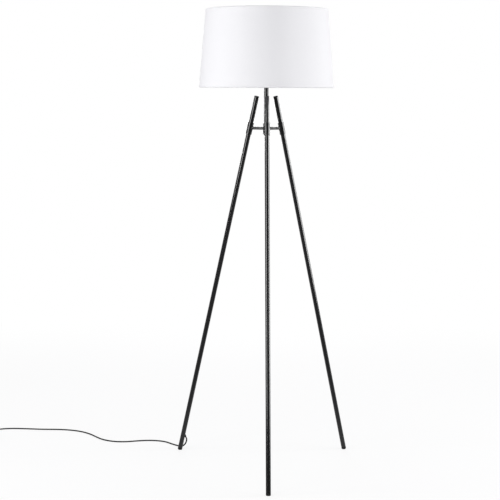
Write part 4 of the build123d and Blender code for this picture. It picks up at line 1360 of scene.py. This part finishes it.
@dataclass
class Studio:
    """White studio: floor, soft lamps and the camera where the photographer stood."""

    eye: Point = (-0.1781, -4.1453, 1.2974)
    lens: float = 88.84
    sensor: float = 36
    pitch: float = 7.558
    heading: float = -1.74
    roll: float = 0.281
    floor_size: float = 60
    floor_behind: Span = (-0.5, 0.5)
    shadow_reach: float = 1.4
    glow_share: float = 0.8
    paper: Colour = (0.35, 0.35, 0.35)
    paper_seen: Colour = (0.93, 0.93, 0.93)
    paper_gloss: Colour = (0.1, 0.1, 0.1)
    ambient: float = 0.52
    ambient_tint: Colour = (0.96, 0.96, 1.0)
    zenith: float = 0.8
    zenith_rise: Span = (0.1, 0.8)
    dark_room: float = 0.06
    white_behind: Span = (-0.25, 0.35)
    gloss_left: float = 0.3
    gloss_across: Span = (-0.2, 0.4)
    softboxes: tuple[SoftBox, ...] = (
        SoftBox("side_left", (-2.95, -0.52, 1.45), aim=1.4, width=0.6, height=2.6, watts=31, gloss=False),
        SoftBox("front_left", (-2.3, -1.93, 1.65), aim=1.45, width=1.0, height=2.2, watts=25.5),
        SoftBox("front_right", (2.85, -0.93, 1.5), aim=1.4, width=0.8, height=2.6, watts=23),
        SoftBox("side_right", (3.0, 0.1, 1.6), aim=1.45, width=0.7, height=2.6, watts=37.5),
        SoftBox("overhead", (0, -2.8, 4.9), aim=1.3, width=2.6, height=2.0, watts=9.5),
        SoftBox("back", (0, 3.4, 1.7), aim=1.35, width=1.6, height=1.6, watts=40),
        SoftBox("low_fill", (0, -2.4, 0.3), aim=1.42, width=2.4, height=0.5, watts=18, gloss=False),
    )

    def build_camera(self) -> None:
        """Set the camera at the photographer's place, angle and lens."""
        data = bpy.data.cameras.new("photographer")
        data.lens = self.lens
        data.sensor_width = self.sensor
        camera = bpy.data.objects.new("photographer", data)
        bpy.context.scene.collection.objects.link(camera)
        turn = Matrix.Rotation(math.radians(self.heading), 4, "Z")
        tilt = Matrix.Rotation(math.radians(90 - self.pitch), 4, "X")
        lean = Matrix.Rotation(math.radians(self.roll), 4, "Z")
        camera.matrix_world = Matrix.Translation(self.eye) @ turn @ tilt @ lean
        bpy.context.scene.camera = camera

    def white_share(self, graph: Graph, behind: Signal) -> tuple[Signal, Signal]:
        """How much of the white background a ray sees: all of it straight on, in a gloss where it stands.

        Args:
            graph: the floor's or the world's graph.
            behind: 1 where the white background stands, 0 on the photographer's side of the room.

        Returns:
            The share seen, and 1 for every ray that sees the background at all.
        """
        straight = graph.ray("Camera").larger(graph.ray("Transmission"))
        glossy = graph.ray("Glossy")
        return straight.larger(glossy * behind), straight.larger(glossy)

    def build_floor(self) -> None:
        """Lay a white floor that keeps a faint shadow near the lamp."""
        pick()
        bpy.ops.mesh.primitive_plane_add(size=self.floor_size, location=(0, 0, 0))
        floor = bpy.context.object
        floor.name = "studio_floor"
        graph, _, (x, y, _) = Graph.material("studio_floor")
        away = (x * x + y * y).ramp(self.shadow_reach**2, (2 * self.shadow_reach)**2)
        seen, _ = self.white_share(graph, y.ramp(*self.floor_behind) * self.gloss_left)
        unseen = graph.blend(graph.ray("Glossy"), self.paper, self.paper_gloss)
        colour = graph.blend(graph.ray("Camera"), unseen, self.paper_seen)
        paper = graph.node("ShaderNodeBsdfDiffuse", inputs={"Color": colour})
        glow = graph.node("ShaderNodeEmission", inputs={"Color": (*WHITE, 1), "Strength": 1.0})
        share = seen * (self.glow_share + away * (1 - self.glow_share))
        above = graph.node("ShaderNodeMixShader", inputs={0: share, 1: paper, 2: glow})
        below = graph.node("ShaderNodeBsdfTransparent")
        under = graph.node("ShaderNodeNewGeometry", output="Backfacing")
        graph.surface(graph.node("ShaderNodeMixShader", inputs={0: under, 1: above, 2: below}))
        floor.data.materials.append(graph.owner)

    def build_world(self) -> None:
        """White to look at, a dimmer even light on the lamp, and a dark room on the photographer's side."""
        graph = Graph(bpy.data.worlds.new("studio"))
        across, deep, up = graph.split(graph.node("ShaderNodeTexCoord", output="Generated"))
        light = (1 - up.ramp(*self.zenith_rise) * (1 - self.zenith)) * self.ambient
        white = self.gloss_left + across.ramp(*self.gloss_across) * (1 - self.gloss_left)
        behind = self.dark_room + deep.ramp(*self.white_behind) * white * (1 - self.dark_room)
        seen, sees = self.white_share(graph, behind)
        graph.surface(graph.node("ShaderNodeBackground", inputs={
            "Color": graph.blend(sees, self.ambient_tint, WHITE),
            "Strength": seen + (1 - sees) * light,
        }))
        bpy.context.scene.world = graph.owner

    def build(self) -> None:
        """Set up the whole studio."""
        self.build_floor()
        self.build_world()
        for box in self.softboxes:
            box.hang()
        self.build_camera()
        bpy.context.scene.view_settings.view_transform = "Standard"


def main() -> None:
    """Build the lamp's dress in order and report each piece."""
    logging.basicConfig(level=logging.INFO, format="%(name)s: %(message)s")
    finishes = Finishes()
    finishes.dress_nodes()
    for group in (Shade(), Welds(), Socket(), FootSwitch(), Plug(), SupplyCord()):
        for piece in group.build(finishes):
            log.info("made %s", piece.name)
    Studio().build()


if __name__ == "__main__":
    main()
